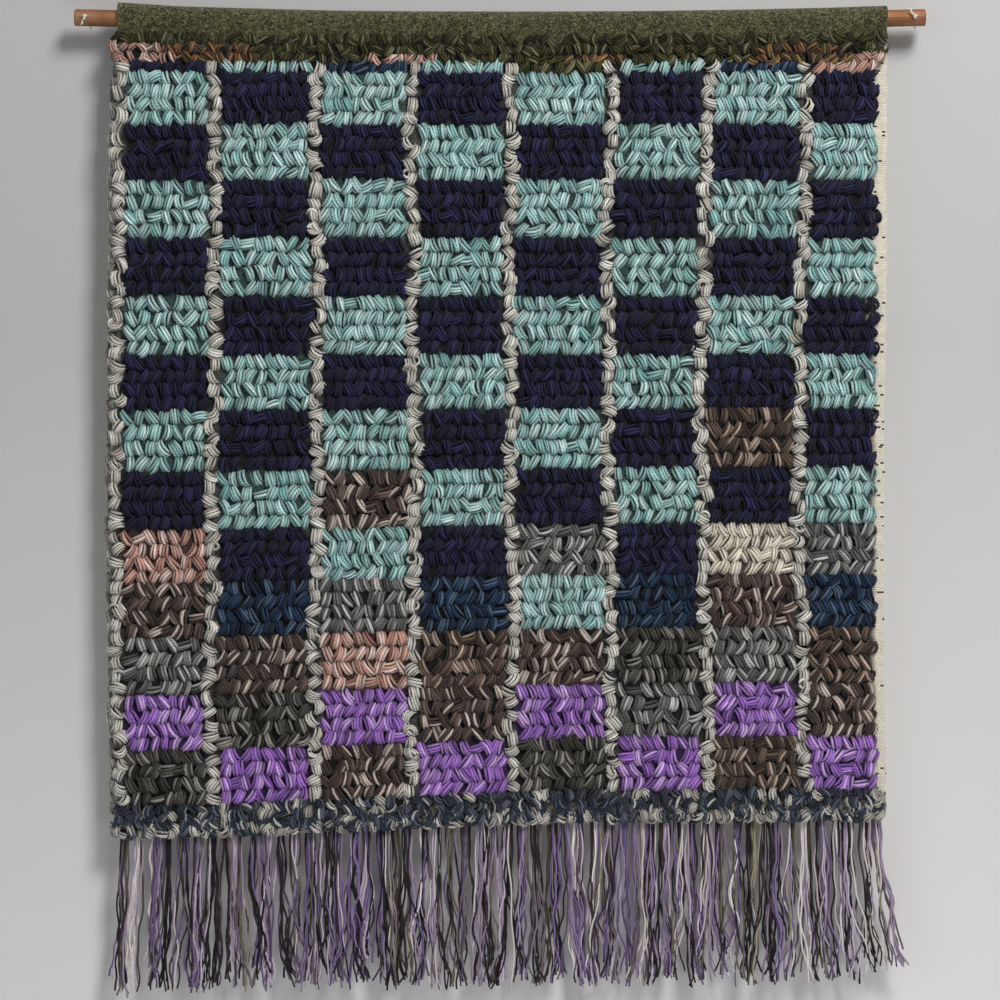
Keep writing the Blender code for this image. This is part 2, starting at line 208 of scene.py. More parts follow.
class Graph:
    """Short ways to add and link the nodes of one node tree."""

    def __init__(self, tree: bpy.types.NodeTree) -> None:
        """Keeps the tree that the nodes go into."""
        self.tree = tree

    def node(self, kind: str, **settings: object) -> bpy.types.Node:
        """Adds a node.

        Args:
            kind: The node's type name.
            **settings: Properties of the node.

        Returns:
            The new node.
        """
        made = self.tree.nodes.new(kind)
        for name, value in settings.items():
            setattr(made, name, value)
        return made

    def feed(self, socket: bpy.types.NodeSocket, value: object) -> None:
        """Links an output to an input socket, or sets a plain value on it."""
        if isinstance(value, bpy.types.NodeSocket):
            self.tree.links.new(value, socket)
        else:
            socket.default_value = value

    def fill(self, inputs: bpy.types.bpy_prop_collection, **values: object) -> None:
        """Feeds input sockets by name, with _ for a space."""
        for name, value in values.items():
            self.feed(inputs[name.replace("_", " ")], value)

    def math(self, operation: str, *values: object) -> bpy.types.NodeSocket:
        """Result of a Math node on values or sockets."""
        made = self.node("ShaderNodeMath", operation=operation)
        for socket, value in zip(made.inputs, values):
            self.feed(socket, value)
        return made.outputs[0]

    def mix(self, share: object, first: object, second: object, blend: str = "MIX") -> bpy.types.NodeSocket:
        """Colour between two colours, or their blend.

        Args:
            share: How much of the second colour.
            first: Colour or socket.
            second: Colour or socket.
            blend: Blend type of the Mix node.

        Returns:
            The colour's socket.
        """
        made = self.node("ShaderNodeMix", data_type="RGBA", blend_type=blend)
        self.feed(made.inputs[0], share)
        self.feed(made.inputs[6], first)
        self.feed(made.inputs[7], second)
        return made.outputs[2]

    def span(self, value: object, low: float, high: float, start: float, end: float) -> bpy.types.NodeSocket:
        """Maps a value's range to another, clamped.

        Args:
            value: Value or socket.
            low: Value that becomes start.
            high: Value that becomes end.
            start: First result.
            end: Last result.

        Returns:
            The result's socket.
        """
        made = self.node("ShaderNodeMapRange", clamp=True)
        for socket, number in zip(made.inputs, (value, low, high, start, end)):
            self.feed(socket, number)
        return made.outputs[0]

    def parts(self, vector: bpy.types.NodeSocket) -> list[bpy.types.NodeSocket]:
        """The three numbers of a vector."""
        made = self.node("ShaderNodeSeparateXYZ")
        self.feed(made.inputs[0], vector)
        return list(made.outputs)

    def joined(self, x: object, y: object, z: object) -> bpy.types.NodeSocket:
        """A vector of three numbers."""
        made = self.node("ShaderNodeCombineXYZ")
        for socket, value in zip(made.inputs, (x, y, z)):
            self.feed(socket, value)
        return made.outputs[0]

    def noise(self, vector: object, scale: float, detail: float = 2.0) -> bpy.types.NodeSocket:
        """Value of a Noise Texture at a vector."""
        made = self.node("ShaderNodeTexNoise")
        self.fill(made.inputs, Vector=vector, Scale=scale, Detail=detail)
        return made.outputs["Fac"]

    def dimmed(self, colour: object, level: bpy.types.NodeSocket) -> bpy.types.NodeSocket:
        """A colour times a level."""
        return self.mix(1.0, colour, self.joined(level, level, level), "MULTIPLY")

    def bump(self, height: object, strength: float, distance: float) -> bpy.types.NodeSocket:
        """Normal of a Bump node."""
        made = self.node("ShaderNodeBump")
        self.fill(made.inputs, Strength=strength, Distance=distance, Height=height)
        return made.outputs[0]

    def attribute(self, name: str) -> bpy.types.NodeSocket:
        """Vector of a mesh attribute."""
        made = self.node("ShaderNodeAttribute", attribute_type="GEOMETRY", attribute_name=name)
        return made.outputs["Vector"]


def start_material(name: str) -> tuple[bpy.types.Material, Graph, bpy.types.Node]:
    """Makes a material.

    Args:
        name: The material's name.

    Returns:
        The material, its graph and its Principled BSDF.
    """
    made = bpy.data.materials.new(name)
    made.use_nodes = True
    return made, Graph(made.node_tree), made.node_tree.nodes["Principled BSDF"]


class Effect:
    """An effect that several materials share: one shader node group, built once."""

    name: str = ""
    inputs: tuple[tuple[str, str, object], ...] = ()
    outputs: tuple[tuple[str, str], ...] = ()

    def __init__(self) -> None:
        """Builds the group's sockets and nodes."""
        self.tree = bpy.data.node_groups.new(self.name, "ShaderNodeTree")
        for name, kind, value in self.inputs:
            socket = self.tree.interface.new_socket(name, in_out="INPUT", socket_type=kind)
            socket.default_value = value
        for name, kind in self.outputs:
            self.tree.interface.new_socket(name, in_out="OUTPUT", socket_type=kind)
        graph = Graph(self.tree)
        given = graph.node("NodeGroupInput").outputs
        results = graph.node("NodeGroupOutput").inputs
        for name, socket in self.wire(graph, given).items():
            graph.feed(results[name], socket)

    def wire(self, graph: Graph, given: bpy.types.bpy_prop_collection) -> dict[str, bpy.types.NodeSocket]:
        """Adds the group's nodes.

        Args:
            graph: The group's graph.
            given: Outputs of the group's input node.

        Returns:
            The sockets that feed the group's outputs, by name.
        """
        raise NotImplementedError

    def place(self, graph: Graph, **values: object) -> bpy.types.bpy_prop_collection:
        """Places the group in a material.

        Args:
            graph: The material's graph.
            **values: Values or sockets by input name, with _ for a space.

        Returns:
            The placed group's outputs.
        """
        made = graph.node("ShaderNodeGroup", node_tree=self.tree)
        graph.fill(made.inputs, **values)
        return made.outputs


class PlyTwist(Effect):
    """Grooves between the plies of a twisted yarn, its fine fibres, and where it faces out."""

    name = "ply_twist"
    inputs = (
        ("Yarn", "NodeSocketVector", (0.0, 0.0, 0.0)),
        ("Tone", "NodeSocketVector", (0.0, 0.0, 0.0)),
        ("Pitch", "NodeSocketFloat", 0.006),
        ("Plies", "NodeSocketFloat", 2.0),
    )
    outputs = (
        ("Groove", "NodeSocketFloat"),
        ("Fibre", "NodeSocketFloat"),
        ("Height", "NodeSocketFloat"),
        ("Open", "NodeSocketFloat"),
    )
    turn_scatter = 40.0
    groove_power = 0.55
    fibre_scatter = 90.0
    fibre_run = 260.0
    fibre_scale = 2.6
    fibre_height = 0.5

    def wire(self, graph: Graph, given: bpy.types.bpy_prop_collection) -> dict[str, bpy.types.NodeSocket]:
        """Adds the group's nodes.

        Args:
            graph: The group's graph.
            given: Yarn, Tone, Pitch and Plies.

        Returns:
            Groove, Fibre, Height and Open.
        """
        cosine, sine, length = graph.parts(given["Yarn"])
        chance = graph.parts(given["Tone"])[0]
        angle = graph.math("ARCTAN2", sine, cosine)
        turns = graph.math("MULTIPLY", graph.math("DIVIDE", length, given["Pitch"]), 2 * math.pi)
        start = graph.math("MULTIPLY_ADD", chance, self.turn_scatter, turns)
        half_plies = graph.math("DIVIDE", given["Plies"], 2.0)
        phase = graph.math("MULTIPLY", graph.math("ADD", angle, start), half_plies)
        ridge = graph.math("ABSOLUTE", graph.math("SINE", phase))
        groove = graph.math("POWER", ridge, self.groove_power)
        grain = graph.joined(
            graph.math("MULTIPLY_ADD", chance, self.fibre_scatter, cosine),
            sine,
            graph.math("MULTIPLY", length, self.fibre_run),
        )
        fibre = graph.noise(grain, self.fibre_scale, 3.0)
        height = graph.math("MULTIPLY_ADD", fibre, self.fibre_height, groove)
        out = graph.span(graph.math("MULTIPLY", sine, -1.0), 0.05, 0.75, 0.0, 1.0)
        return {"Groove": groove, "Fibre": fibre, "Height": height, "Open": out}


class StrandTone(Effect):
    """Colour of a strand: one of three shades by chance, uneven, and darker down in the pile as painted
    shade.
    """

    name = "strand_tone"
    inputs = (
        ("Tone", "NodeSocketVector", (0.0, 0.0, 0.0)),
        ("First", "NodeSocketColor", (0.5, 0.5, 0.5, 1.0)),
        ("Second", "NodeSocketColor", (0.5, 0.5, 0.5, 1.0)),
        ("Third", "NodeSocketColor", (0.5, 0.5, 0.5, 1.0)),
        ("Second Share", "NodeSocketFloat", 0.3),
        ("Third Share", "NodeSocketFloat", 0.2),
        ("Spread", "NodeSocketFloat", 0.15),
        ("Depth", "NodeSocketFloat", 0.45),
    )
    outputs = (("Color", "NodeSocketColor"),)
    own_scatter = 17.3
    tuft_weight = 0.8
    shade_from = 0.40

    def wire(self, graph: Graph, given: bpy.types.bpy_prop_collection) -> dict[str, bpy.types.NodeSocket]:
        """Adds the group's nodes.

        Args:
            graph: The group's graph.
            given: Tone, the three shades, their shares, Spread and Depth.

        Returns:
            Color.
        """
        chance, tuft, height = graph.parts(given["Tone"])
        last = graph.math("SUBTRACT", 1.0, given["Third Share"])
        middle = graph.math("SUBTRACT", last, given["Second Share"])
        shade = graph.mix(graph.math("GREATER_THAN", chance, middle), given["First"], given["Second"])
        shade = graph.mix(graph.math("GREATER_THAN", chance, last), shade, given["Third"])
        own = graph.math("FRACT", graph.math("MULTIPLY", chance, self.own_scatter))
        both = graph.math("MULTIPLY_ADD", tuft, self.tuft_weight, own)
        swerve = graph.math("SUBTRACT", both, (1 + self.tuft_weight) / 2)
        uneven = graph.math("MULTIPLY_ADD", swerve, given["Spread"], 1.0)
        # Painted shade: the lower a strand lies in the pile, the darker it is, by as much as Depth.
        rise = graph.span(height, self.shade_from, 1.0, 0.0, 1.0)
        low = graph.math("SUBTRACT", 1.0, given["Depth"])
        shaded = graph.math("MULTIPLY_ADD", rise, given["Depth"], low)
        return {"Color": graph.dimmed(shade, graph.math("MULTIPLY", uneven, shaded))}


class WeaveCells(Effect):
    """Rows of staggered woven cells: a chance value and a soft dome for each."""

    name = "weave_cells"
    inputs = (
        ("Place", "NodeSocketVector", (0.0, 0.0, 0.0)),
        ("Across", "NodeSocketFloat", 0.0012),
        ("Along", "NodeSocketFloat", 0.0011),
    )
    outputs = (("Chance", "NodeSocketFloat"), ("Dome", "NodeSocketFloat"))
    layer = 3.0
    dome_power = 0.6

    def wire(self, graph: Graph, given: bpy.types.bpy_prop_collection) -> dict[str, bpy.types.NodeSocket]:
        """Adds the group's nodes.

        Args:
            graph: The group's graph.
            given: Place, Across and Along.

        Returns:
            Chance and Dome.
        """
        across, along, _ = graph.parts(given["Place"])
        down = graph.math("DIVIDE", along, given["Along"])
        row = graph.math("FLOOR", down)
        stagger = graph.math("MULTIPLY", graph.math("FLOORED_MODULO", row, 2.0), 0.5)
        side = graph.math("ADD", graph.math("DIVIDE", across, given["Across"]), stagger)
        column = graph.math("FLOOR", side)
        chance = graph.node("ShaderNodeTexWhiteNoise", noise_dimensions="3D")
        graph.feed(chance.inputs["Vector"], graph.joined(column, row, self.layer))
        bulge = [
            graph.math("SINE", graph.math("MULTIPLY", graph.math("FRACT", value), math.pi))
            for value in (side, down)
        ]
        dome = graph.math("POWER", graph.math("MULTIPLY", *bulge), self.dome_power)
        return {"Chance": chance.outputs["Value"], "Dome": dome}


@dataclass(frozen=True)
class YarnFinish:
    """Finish of one yarn: its three shades, how it is spun, how it takes light, and its painted shade."""

    yarn: Yarn
    first: Colour
    second: Colour
    third: Colour
    second_share: float = 0.30
    third_share: float = 0.15
    spread: float = 0.22
    # Painted shade: how much darker a strand gets down in the pile, on its sides and in its ply grooves.
    depth: float = 0.72
    crease_shade: float = 0.36
    pitch: float = 0.0062
    plies: float = 2.0
    sheen: float = 0.25
    sheen_roughness: float = 0.45
    roughness: float = 0.82
    gloss: float = 0.22
    groove_shade: float = 0.62
    fibre_dim: tuple[float, float] = (0.88, 1.12)
    relief: tuple[float, float] = (0.55, 0.0005)

    def material(self, twist: PlyTwist, tone: StrandTone) -> bpy.types.Material:
        """Makes the yarn's material.

        Args:
            twist: The shared effect of the plies.
            tone: The shared effect of the strand's colour.

        Returns:
            The material.
        """
        made, graph, shader = start_material("yarn_" + self.yarn.value)
        chance = graph.attribute("tone")
        plies = twist.place(
            graph, Yarn=graph.attribute("yarn"), Tone=chance, Pitch=self.pitch, Plies=self.plies
        )
        shade = tone.place(
            graph,
            Tone=chance,
            First=rgba(self.first),
            Second=rgba(self.second),
            Third=rgba(self.third),
            Second_Share=self.second_share,
            Third_Share=self.third_share,
            Spread=self.spread,
            Depth=self.depth,
        )["Color"]
        # Painted shade: darker in the grooves between the plies, and on the sides of each strand that don't
        # face out of the pile.
        dim = graph.span(plies["Groove"], 0.0, 0.8, self.groove_shade, 1.0)
        fibre = graph.span(plies["Fibre"], 0.3, 0.7, *self.fibre_dim)
        open_side = graph.span(plies["Open"], 0.0, 1.0, 1.0 - self.crease_shade, 1.0)
        level = graph.math("MULTIPLY", graph.math("MULTIPLY", dim, fibre), open_side)
        graph.fill(
            shader.inputs,
            Base_Color=graph.dimmed(shade, level),
            Normal=graph.bump(plies["Height"], *self.relief),
            Roughness=self.roughness,
            Specular_IOR_Level=self.gloss,
            Sheen_Weight=self.sheen,
            Sheen_Roughness=self.sheen_roughness,
        )
        return made


YARN_FINISHES = (
    YarnFinish(Yarn.MINT, (0.42, 0.70, 0.675), (0.62, 0.85, 0.83), (0.25, 0.53, 0.50), crease_shade=0.42),
    YarnFinish(Yarn.NAVY, (0.013, 0.0125, 0.046), (0.025, 0.024, 0.088), (0.010, 0.009, 0.022), sheen=0.06),
    YarnFinish(Yarn.BAR_CREAM, (0.67, 0.65, 0.585), (0.51, 0.48, 0.42), (0.82, 0.81, 0.75), depth=0.78),
    YarnFinish(Yarn.BROWN_MARL, (0.056, 0.030, 0.020), (0.50, 0.38, 0.31), (0.13, 0.082, 0.052), 0.24, 0.28),
    YarnFinish(Yarn.OAT_MARL, (0.064, 0.036, 0.027), (0.64, 0.54, 0.47), (0.15, 0.10, 0.080), 0.29, 0.24),
    YarnFinish(Yarn.GREY_MARL, (0.115, 0.115, 0.110), (0.58, 0.58, 0.56), (0.23, 0.23, 0.22), 0.28, 0.30),
    YarnFinish(Yarn.ROSE, (0.70, 0.40, 0.32), (0.92, 0.70, 0.63), (0.46, 0.22, 0.17)),
    YarnFinish(Yarn.CREAM, (0.86, 0.79, 0.64), (0.93, 0.88, 0.76), (0.70, 0.61, 0.47)),
    YarnFinish(Yarn.TEAL, (0.016, 0.042, 0.096), (0.080, 0.130, 0.205), (0.008, 0.016, 0.042), sheen=0.06),
    YarnFinish(Yarn.PURPLE, (0.43, 0.19, 0.70), (0.72, 0.46, 0.92), (0.28, 0.11, 0.48), crease_shade=0.42),
    YarnFinish(Yarn.MOSS, (0.085, 0.079, 0.068), (0.33, 0.31, 0.28), (0.034, 0.031, 0.026), sheen=0.12),
    YarnFinish(Yarn.OLIVE, (0.074, 0.071, 0.020), (0.20, 0.195, 0.105), (0.030, 0.028, 0.006), sheen=0.06),
    YarnFinish(Yarn.RUST, (0.070, 0.040, 0.018), (0.38, 0.16, 0.045), (0.27, 0.17, 0.045), 0.26, 0.24),
    YarnFinish(Yarn.BAND, (0.018, 0.030, 0.056), (0.090, 0.108, 0.150), (0.55, 0.53, 0.50), 0.36, 0.10),
    YarnFinish(Yarn.LILAC, (0.34, 0.26, 0.38), (0.54, 0.45, 0.57), (0.22, 0.16, 0.26), crease_shade=0.0),
    YarnFinish(Yarn.VIOLET, (0.15, 0.095, 0.25), (0.24, 0.16, 0.37), (0.10, 0.062, 0.15), crease_shade=0.0),
    YarnFinish(Yarn.ECRU, (0.64, 0.58, 0.56), (0.80, 0.76, 0.74), (0.30, 0.27, 0.18), crease_shade=0.0),
    YarnFinish(
        Yarn.INK, (0.011, 0.009, 0.012), (0.032, 0.022, 0.022), (0.060, 0.055, 0.030),
        crease_shade=0.0, sheen=0.05,
    ),
    YarnFinish(Yarn.SLATE, (0.105, 0.082, 0.095), (0.18, 0.145, 0.165), (0.12, 0.115, 0.060), crease_shade=0.0),
    YarnFinish(
        Yarn.LINE, (0.66, 0.64, 0.60), (0.72, 0.70, 0.67), (0.55, 0.53, 0.49),
        depth=0.0, crease_shade=0.0, pitch=0.003,
    ),
)
FINISH_OF = {finish.yarn: finish for finish in YARN_FINISHES}


@dataclass(frozen=True)
class ClothFinish:
    """Finish of the ground cloth: olive at the sleeve, cream below, with painted shade under the pile."""

    olive_light: Colour = (0.152, 0.148, 0.062)
    olive_dark: Colour = (0.008, 0.008, 0.002)
    fleck: Colour = (0.25, 0.235, 0.13)
    cream: Colour = (0.86, 0.82, 0.70)
    cream_dark: Colour = (0.70, 0.65, 0.53)
    pile_shadow: Colour = (0.012, 0.011, 0.011)
    dot: Colour = (0.06, 0.055, 0.05)
    dots_above: float = 0.965
    pebble: tuple[float, float] = (0.0026, 0.0024)
    weave: tuple[float, float] = (0.0032, 0.0017)
    stir: float = 0.0080
    stir_scales: tuple[float, float] = (310.0, 370.0)
    grain_scale: float = 640.0
    cloud_scale: float = 170.0
    relief: tuple[float, float] = (0.8, 0.0006)

    def material(self, cells: WeaveCells) -> bpy.types.Material:
        """Makes the cloth's material.

        Args:
            cells: The shared effect of woven cells.

        Returns:
            The material.
        """
        made, graph, shader = start_material("cloth")
        place = graph.attribute("cloth")
        at_sleeve, at_edge, in_pile = graph.parts(graph.attribute("zone"))
        across, along, through = graph.parts(place)
        moved = [
            graph.math("MULTIPLY_ADD", graph.noise(place, scale), self.stir, value)
            for scale, value in zip(self.stir_scales, (across, along))
        ]
        stirred = graph.joined(*moved, through)
        pebbles = cells.place(graph, Place=stirred, Across=self.pebble[0], Along=self.pebble[1])
        ground = cells.place(graph, Place=place, Across=self.weave[0], Along=self.weave[1])
        grain = graph.noise(place, self.grain_scale)
        mixed = graph.math("MULTIPLY_ADD", pebbles["Chance"], 0.30, grain)
        lightness = graph.span(mixed, 0.44, 0.86, 0.0, 1.0)
        sleeve = graph.mix(lightness, rgba(self.olive_dark), rgba(self.olive_light))
        flecked = graph.span(mixed, 0.84, 0.96, 0.0, 0.7)
        sleeve = graph.mix(flecked, sleeve, rgba(self.fleck))
        cloudy = graph.noise(place, self.cloud_scale, 3.0)
        worn = graph.math("MULTIPLY_ADD", ground["Chance"], 0.5, graph.span(cloudy, 0.35, 0.7, 0.0, 0.7))
        plain = graph.mix(worn, rgba(self.cream), rgba(self.cream_dark))
        spotted = graph.math("GREATER_THAN", ground["Chance"], self.dots_above)
        plain = graph.mix(graph.math("MULTIPLY", spotted, at_edge), plain, rgba(self.dot))
        # Painted shade under the pile: the roots' darkened colour, mixed by a noise with a near-black
        # painted shadow.
        packed = graph.span(grain, 0.3, 0.7, 0.85, 0.0)
        roots = graph.mix(packed, graph.attribute("shade"), rgba(self.pile_shadow))
        plain = graph.mix(in_pile, plain, roots)
        colour = graph.mix(at_sleeve, plain, sleeve)
        woolly = graph.math("MAXIMUM", at_sleeve, in_pile)
        pebbled = graph.math("MULTIPLY_ADD", grain, 0.7, graph.math("MULTIPLY", pebbles["Dome"], 0.9))
        dome = graph.mix(woolly, graph.joined(*[ground["Dome"]] * 3), graph.joined(*[pebbled] * 3))
        dome = graph.parts(dome)[0]
        # Painted shade between the woven cells and pebbles: darker towards each cell's edge, most on the
        # sleeve and under the pile.
        dim = graph.span(dome, 0.3, 1.1, graph.span(woolly, 0.0, 1.0, 0.80, 0.30), 1.0)
        graph.fill(
            shader.inputs,
            Base_Color=graph.dimmed(colour, dim),
            Normal=graph.bump(dome, *self.relief),
            Roughness=0.88,
            Specular_IOR_Level=0.2,
            Sheen_Weight=0.2,
            Sheen_Roughness=0.5,
        )
        return made


@dataclass(frozen=True)
class CopperFinish:
    """Finish of the rod: brushed copper, dulled by handling."""

    bright: Colour = (0.43, 0.225, 0.130)
    dull: Colour = (0.30, 0.148, 0.078)
    stain: Colour = (0.13, 0.075, 0.045)
    brush_stretch: float = 0.04
    brush_scale: float = 900.0
    cloud_scale: float = 55.0
    speck_scale: float = 420.0
    relief: tuple[float, float] = (0.25, 0.0002)

    def material(self) -> bpy.types.Material:
        """The copper's material."""
        made, graph, shader = start_material("copper")
        spot = graph.node("ShaderNodeTexCoord").outputs["Object"]
        x, y, z = graph.parts(spot)
        stretched = graph.joined(graph.math("MULTIPLY", x, self.brush_stretch), y, z)
        brushed = graph.noise(stretched, self.brush_scale, 3.0)
        cloudy = graph.noise(spot, self.cloud_scale, 4.0)
        specks = graph.noise(spot, self.speck_scale)
        colour = graph.mix(graph.span(cloudy, 0.35, 0.65, 0.0, 1.0), rgba(self.bright), rgba(self.dull))
        colour = graph.mix(graph.span(specks, 0.62, 0.74, 0.0, 0.7), colour, rgba(self.stain))
        graph.fill(
            shader.inputs,
            Base_Color=colour,
            Roughness=graph.span(cloudy, 0.3, 0.7, 0.56, 0.72),
            Normal=graph.bump(brushed, *self.relief),
            Metallic=1.0,
        )
        return made


@dataclass
class StrandBatch:
    """Round yarn strands with equal numbers of rings, gathered as arrays and made into one mesh.

    Attribute yarn of the mesh's points holds the cosine and sine of the place round the strand
    and the length along it. Attribute tone holds a chance value for the strand, one for its tuft,
    and the height in the pile, from which the yarn materials paint shade.
    """

    sides: int
    tip: float = 0.6
    paths: list[Array] = field(default_factory=list)
    hints: list[Array] = field(default_factory=list)
    radii: list[Array] = field(default_factory=list)
    tones: list[Array] = field(default_factory=list)

    def add(self, path: Array, hint: Array, radius: Array, tone: Array) -> None:
        """Adds strands.

        Args:
            path: Centre lines, as strands x rings x 3.
            hint: A direction across each strand, as strands x 3.
            radius: Radius at each ring, as strands x rings.
            tone: Chance values and height, as strands x rings x 3.
        """
        self.paths.append(path)
        self.hints.append(hint)
        self.radii.append(radius)
        self.tones.append(tone)

    def rings_of(self, path: Array, hint: Array, radius: Array) -> tuple[Array, Array]:
        """Points of the strands' rings and tips.

        Args:
            path: Centre lines, as strands x rings x 3.
            hint: A direction across each strand, as strands x 3.
            radius: Radius at each ring, as strands x rings.

        Returns:
            The points, as strands x points x 3, and the angles of a ring's points.
        """
        tangent = np.gradient(path, axis=1)
        tangent /= np.linalg.norm(tangent, axis=2, keepdims=True)
        side = hint[:, None, :] - tangent * np.sum(hint[:, None, :] * tangent, axis=2, keepdims=True)
        side /= np.linalg.norm(side, axis=2, keepdims=True)
        other = np.cross(tangent, side)
        angle = np.arange(self.sides) * 2 * math.pi / self.sides
        around = np.cos(angle)[:, None] * side[:, :, None, :] + np.sin(angle)[:, None] * other[:, :, None, :]
        ring = path[:, :, None, :] + radius[:, :, None, None] * around
        start = path[:, 0] - tangent[:, 0] * radius[:, 0, None] * self.tip
        end = path[:, -1] + tangent[:, -1] * radius[:, -1, None] * self.tip
        points = [ring.reshape(len(path), -1, 3), start[:, None], end[:, None]]
        return np.concatenate(points, axis=1), angle

    def faces_of(self, rings: int) -> tuple[Array, Array]:
        """Faces of one strand.

        Args:
            rings: Number of rings.

        Returns:
            The faces' corners in a row, and where each face starts there.
        """
        sides = self.sides
        first = np.arange((rings - 1) * sides)
        after = first - first % sides + (first + 1) % sides
        quads = np.stack([first, after, after + sides, first + sides], axis=1)
        around = np.arange(sides)
        turned = (around + 1) % sides
        last = (rings - 1) * sides
        tip = np.full(sides, rings * sides)
        opening = np.stack([turned, around, tip], axis=1)
        closing = np.stack([last + around, last + turned, tip + 1], axis=1)
        corners = np.concatenate([quads.ravel(), opening.ravel(), closing.ravel()])
        starts = np.concatenate([np.arange(len(quads)) * 4, quads.size + np.arange(2 * sides) * 3])
        return corners, starts

    def mesh(self, name: str) -> bpy.types.Mesh:
        """Makes the mesh of all the strands.

        Args:
            name: The mesh's name.

        Returns:
            The mesh, with its attributes.
        """
        path = np.concatenate(self.paths)
        radius = np.concatenate(self.radii)
        tone = np.concatenate(self.tones)
        count, rings, _ = path.shape
        points, angle = self.rings_of(path, np.concatenate(self.hints), radius)
        each = rings * self.sides + 2
        corners, starts = self.faces_of(rings)
        order = np.arange(count)[:, None]
        flat = (corners[None] + order * each).ravel()
        begins = (starts[None] + order * len(corners)).ravel()
        steps = np.linalg.norm(np.diff(path, axis=1), axis=2)
        length = np.concatenate([np.zeros((count, 1)), np.cumsum(steps, axis=1)], axis=1)
        yarn = np.zeros((count, each, 3))
        yarn[:, :-2, 0] = np.tile(np.cos(angle), rings)
        yarn[:, :-2, 1] = np.tile(np.sin(angle), rings)
        yarn[:, :-2, 2] = np.repeat(length, self.sides, axis=1)
        yarn[:, -1, 2] = length[:, -1]
        tones = np.concatenate([np.repeat(tone, self.sides, axis=1), tone[:, :1], tone[:, -1:]], axis=1)
        made = bpy.data.meshes.new(name)
        made.vertices.add(count * each)
        made.vertices.foreach_set("co", points.astype(np.float32).ravel())
        made.loops.add(len(flat))
        made.loops.foreach_set("vertex_index", flat.astype(np.int32))
        made.polygons.add(len(begins))
        made.polygons.foreach_set("loop_start", begins.astype(np.int32))
        made.update(calc_edges=True)
        made.shade_smooth()
        for label, values in (("yarn", yarn), ("tone", tones)):
            layer = made.attributes.new(label, "FLOAT_VECTOR", "POINT")
            layer.data.foreach_set("vector", values.astype(np.float32).ravel())
        return made


class Wardrobe:
    """The finishes, made once, and the ways that pieces are added to the scene."""

    def __init__(self) -> None:
        """Builds the shared effects and every material."""
        twist, tone = PlyTwist(), StrandTone()
        self.yarns = {finish.yarn: finish.material(twist, tone) for finish in YARN_FINISHES}
        self.cloth = ClothFinish().material(WeaveCells())
        self.copper = CopperFinish().material()

    def piece(
        self, name: str, mesh: bpy.types.Mesh, material: bpy.types.Material, node: str
    ) -> bpy.types.Object:
        """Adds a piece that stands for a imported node.

        Args:
            name: The piece's name.
            mesh: Its mesh, in place.
            material: Its finish.
            node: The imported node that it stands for.

        Returns:
            The new object.
        """
        made = add_object(name, mesh)
        mesh.materials.append(material)
        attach(made, BODY)
        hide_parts(node)
        LOG.info("%s: %d faces", name, len(mesh.polygons))
        return made


@dataclass
class HangingRod:
    """The bowed copper rod and the knotted line ends in its two holes."""

    plan: ClothPlan
    line_radius: float = 0.0008
    knot_radius: float = 0.0017
    knot_depth: float = 1.6
    tail: float = 0.0090
    tail_bend: float = 0.0004

    def dress_rod(self, wardrobe: Wardrobe) -> None:
        """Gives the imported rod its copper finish."""
        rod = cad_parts["hanging_rod"]
        rod.data.materials.clear()
        rod.data.materials.append(wardrobe.copper)
        LOG.info("hanging_rod: brushed copper")

    def knot_path(self, centre: Vector, towards: float, tail: Vector) -> Array:
        """Centre line of a knot, from the middle of the hole to the end of its tail.

        Args:
            centre: Middle of the hole.
            towards: -1 at the rod's front, 1 at its back.
            tail: Direction of the free tail.

        Returns:
            The points, as rings x 3.
        """
        reach = self.plan.rod_radius + self.knot_radius
        middle = centre + Vector((0, towards * reach, 0))
        turns = np.linspace(0.3, 2 * math.pi - 0.2, 26)
        size = self.knot_radius / 3.0
        loops = np.stack(
            [
                size * (np.sin(turns) + 2 * np.sin(2 * turns)),
                size * self.knot_depth * -np.sin(3 * turns),
                size * (np.cos(turns) - 2 * np.cos(2 * turns)),
            ],
            axis=1,
        )
        shank = [centre, centre + Vector((0, towards * self.plan.rod_radius, 0))]
        steps = np.linspace(0.3, 1.0, 6)
        bends = [Vector((self.tail_bend * math.sin(9 * step), 0, 0)) for step in steps]
        free = [middle + tail * self.tail * step + bend for step, bend in zip(steps, bends)]
        return np.concatenate([np.array(shank), np.array(middle) + loops, np.array(free)])

    def tie_line(self, wardrobe: Wardrobe) -> None:
        """Adds the knotted line ends, front and back, at both ends of the rod."""
        tails = {
            "left": (Vector((-0.35, -0.25, -0.90)), Vector((0.30, 0.20, -0.93))),
            "right": (Vector((-0.62, -0.15, 0.77)), Vector((0.25, 0.20, -0.93))),
        }
        for side, name in ((-1, "left"), (1, "right")):
            x = side * (self.plan.rod_length / 2 - self.plan.hole_inset)
            centre = Vector((x, 0, float(self.plan.rod_height(x))))
            batch = StrandBatch(sides=8)
            for towards, tail in zip((-1, 1), tails[name]):
                path = self.knot_path(centre, towards, tail)[None]
                radius = np.full(path.shape[:2], self.line_radius)
                tone = np.full((*path.shape[:2], 3), 0.4)
                batch.add(path, np.array([[0.3, 0.2, 0.93]]), radius, tone)
            node = "line_knot_" + name
            wardrobe.piece("hanging_line_" + name, batch.mesh(node), wardrobe.yarns[Yarn.LINE], node)


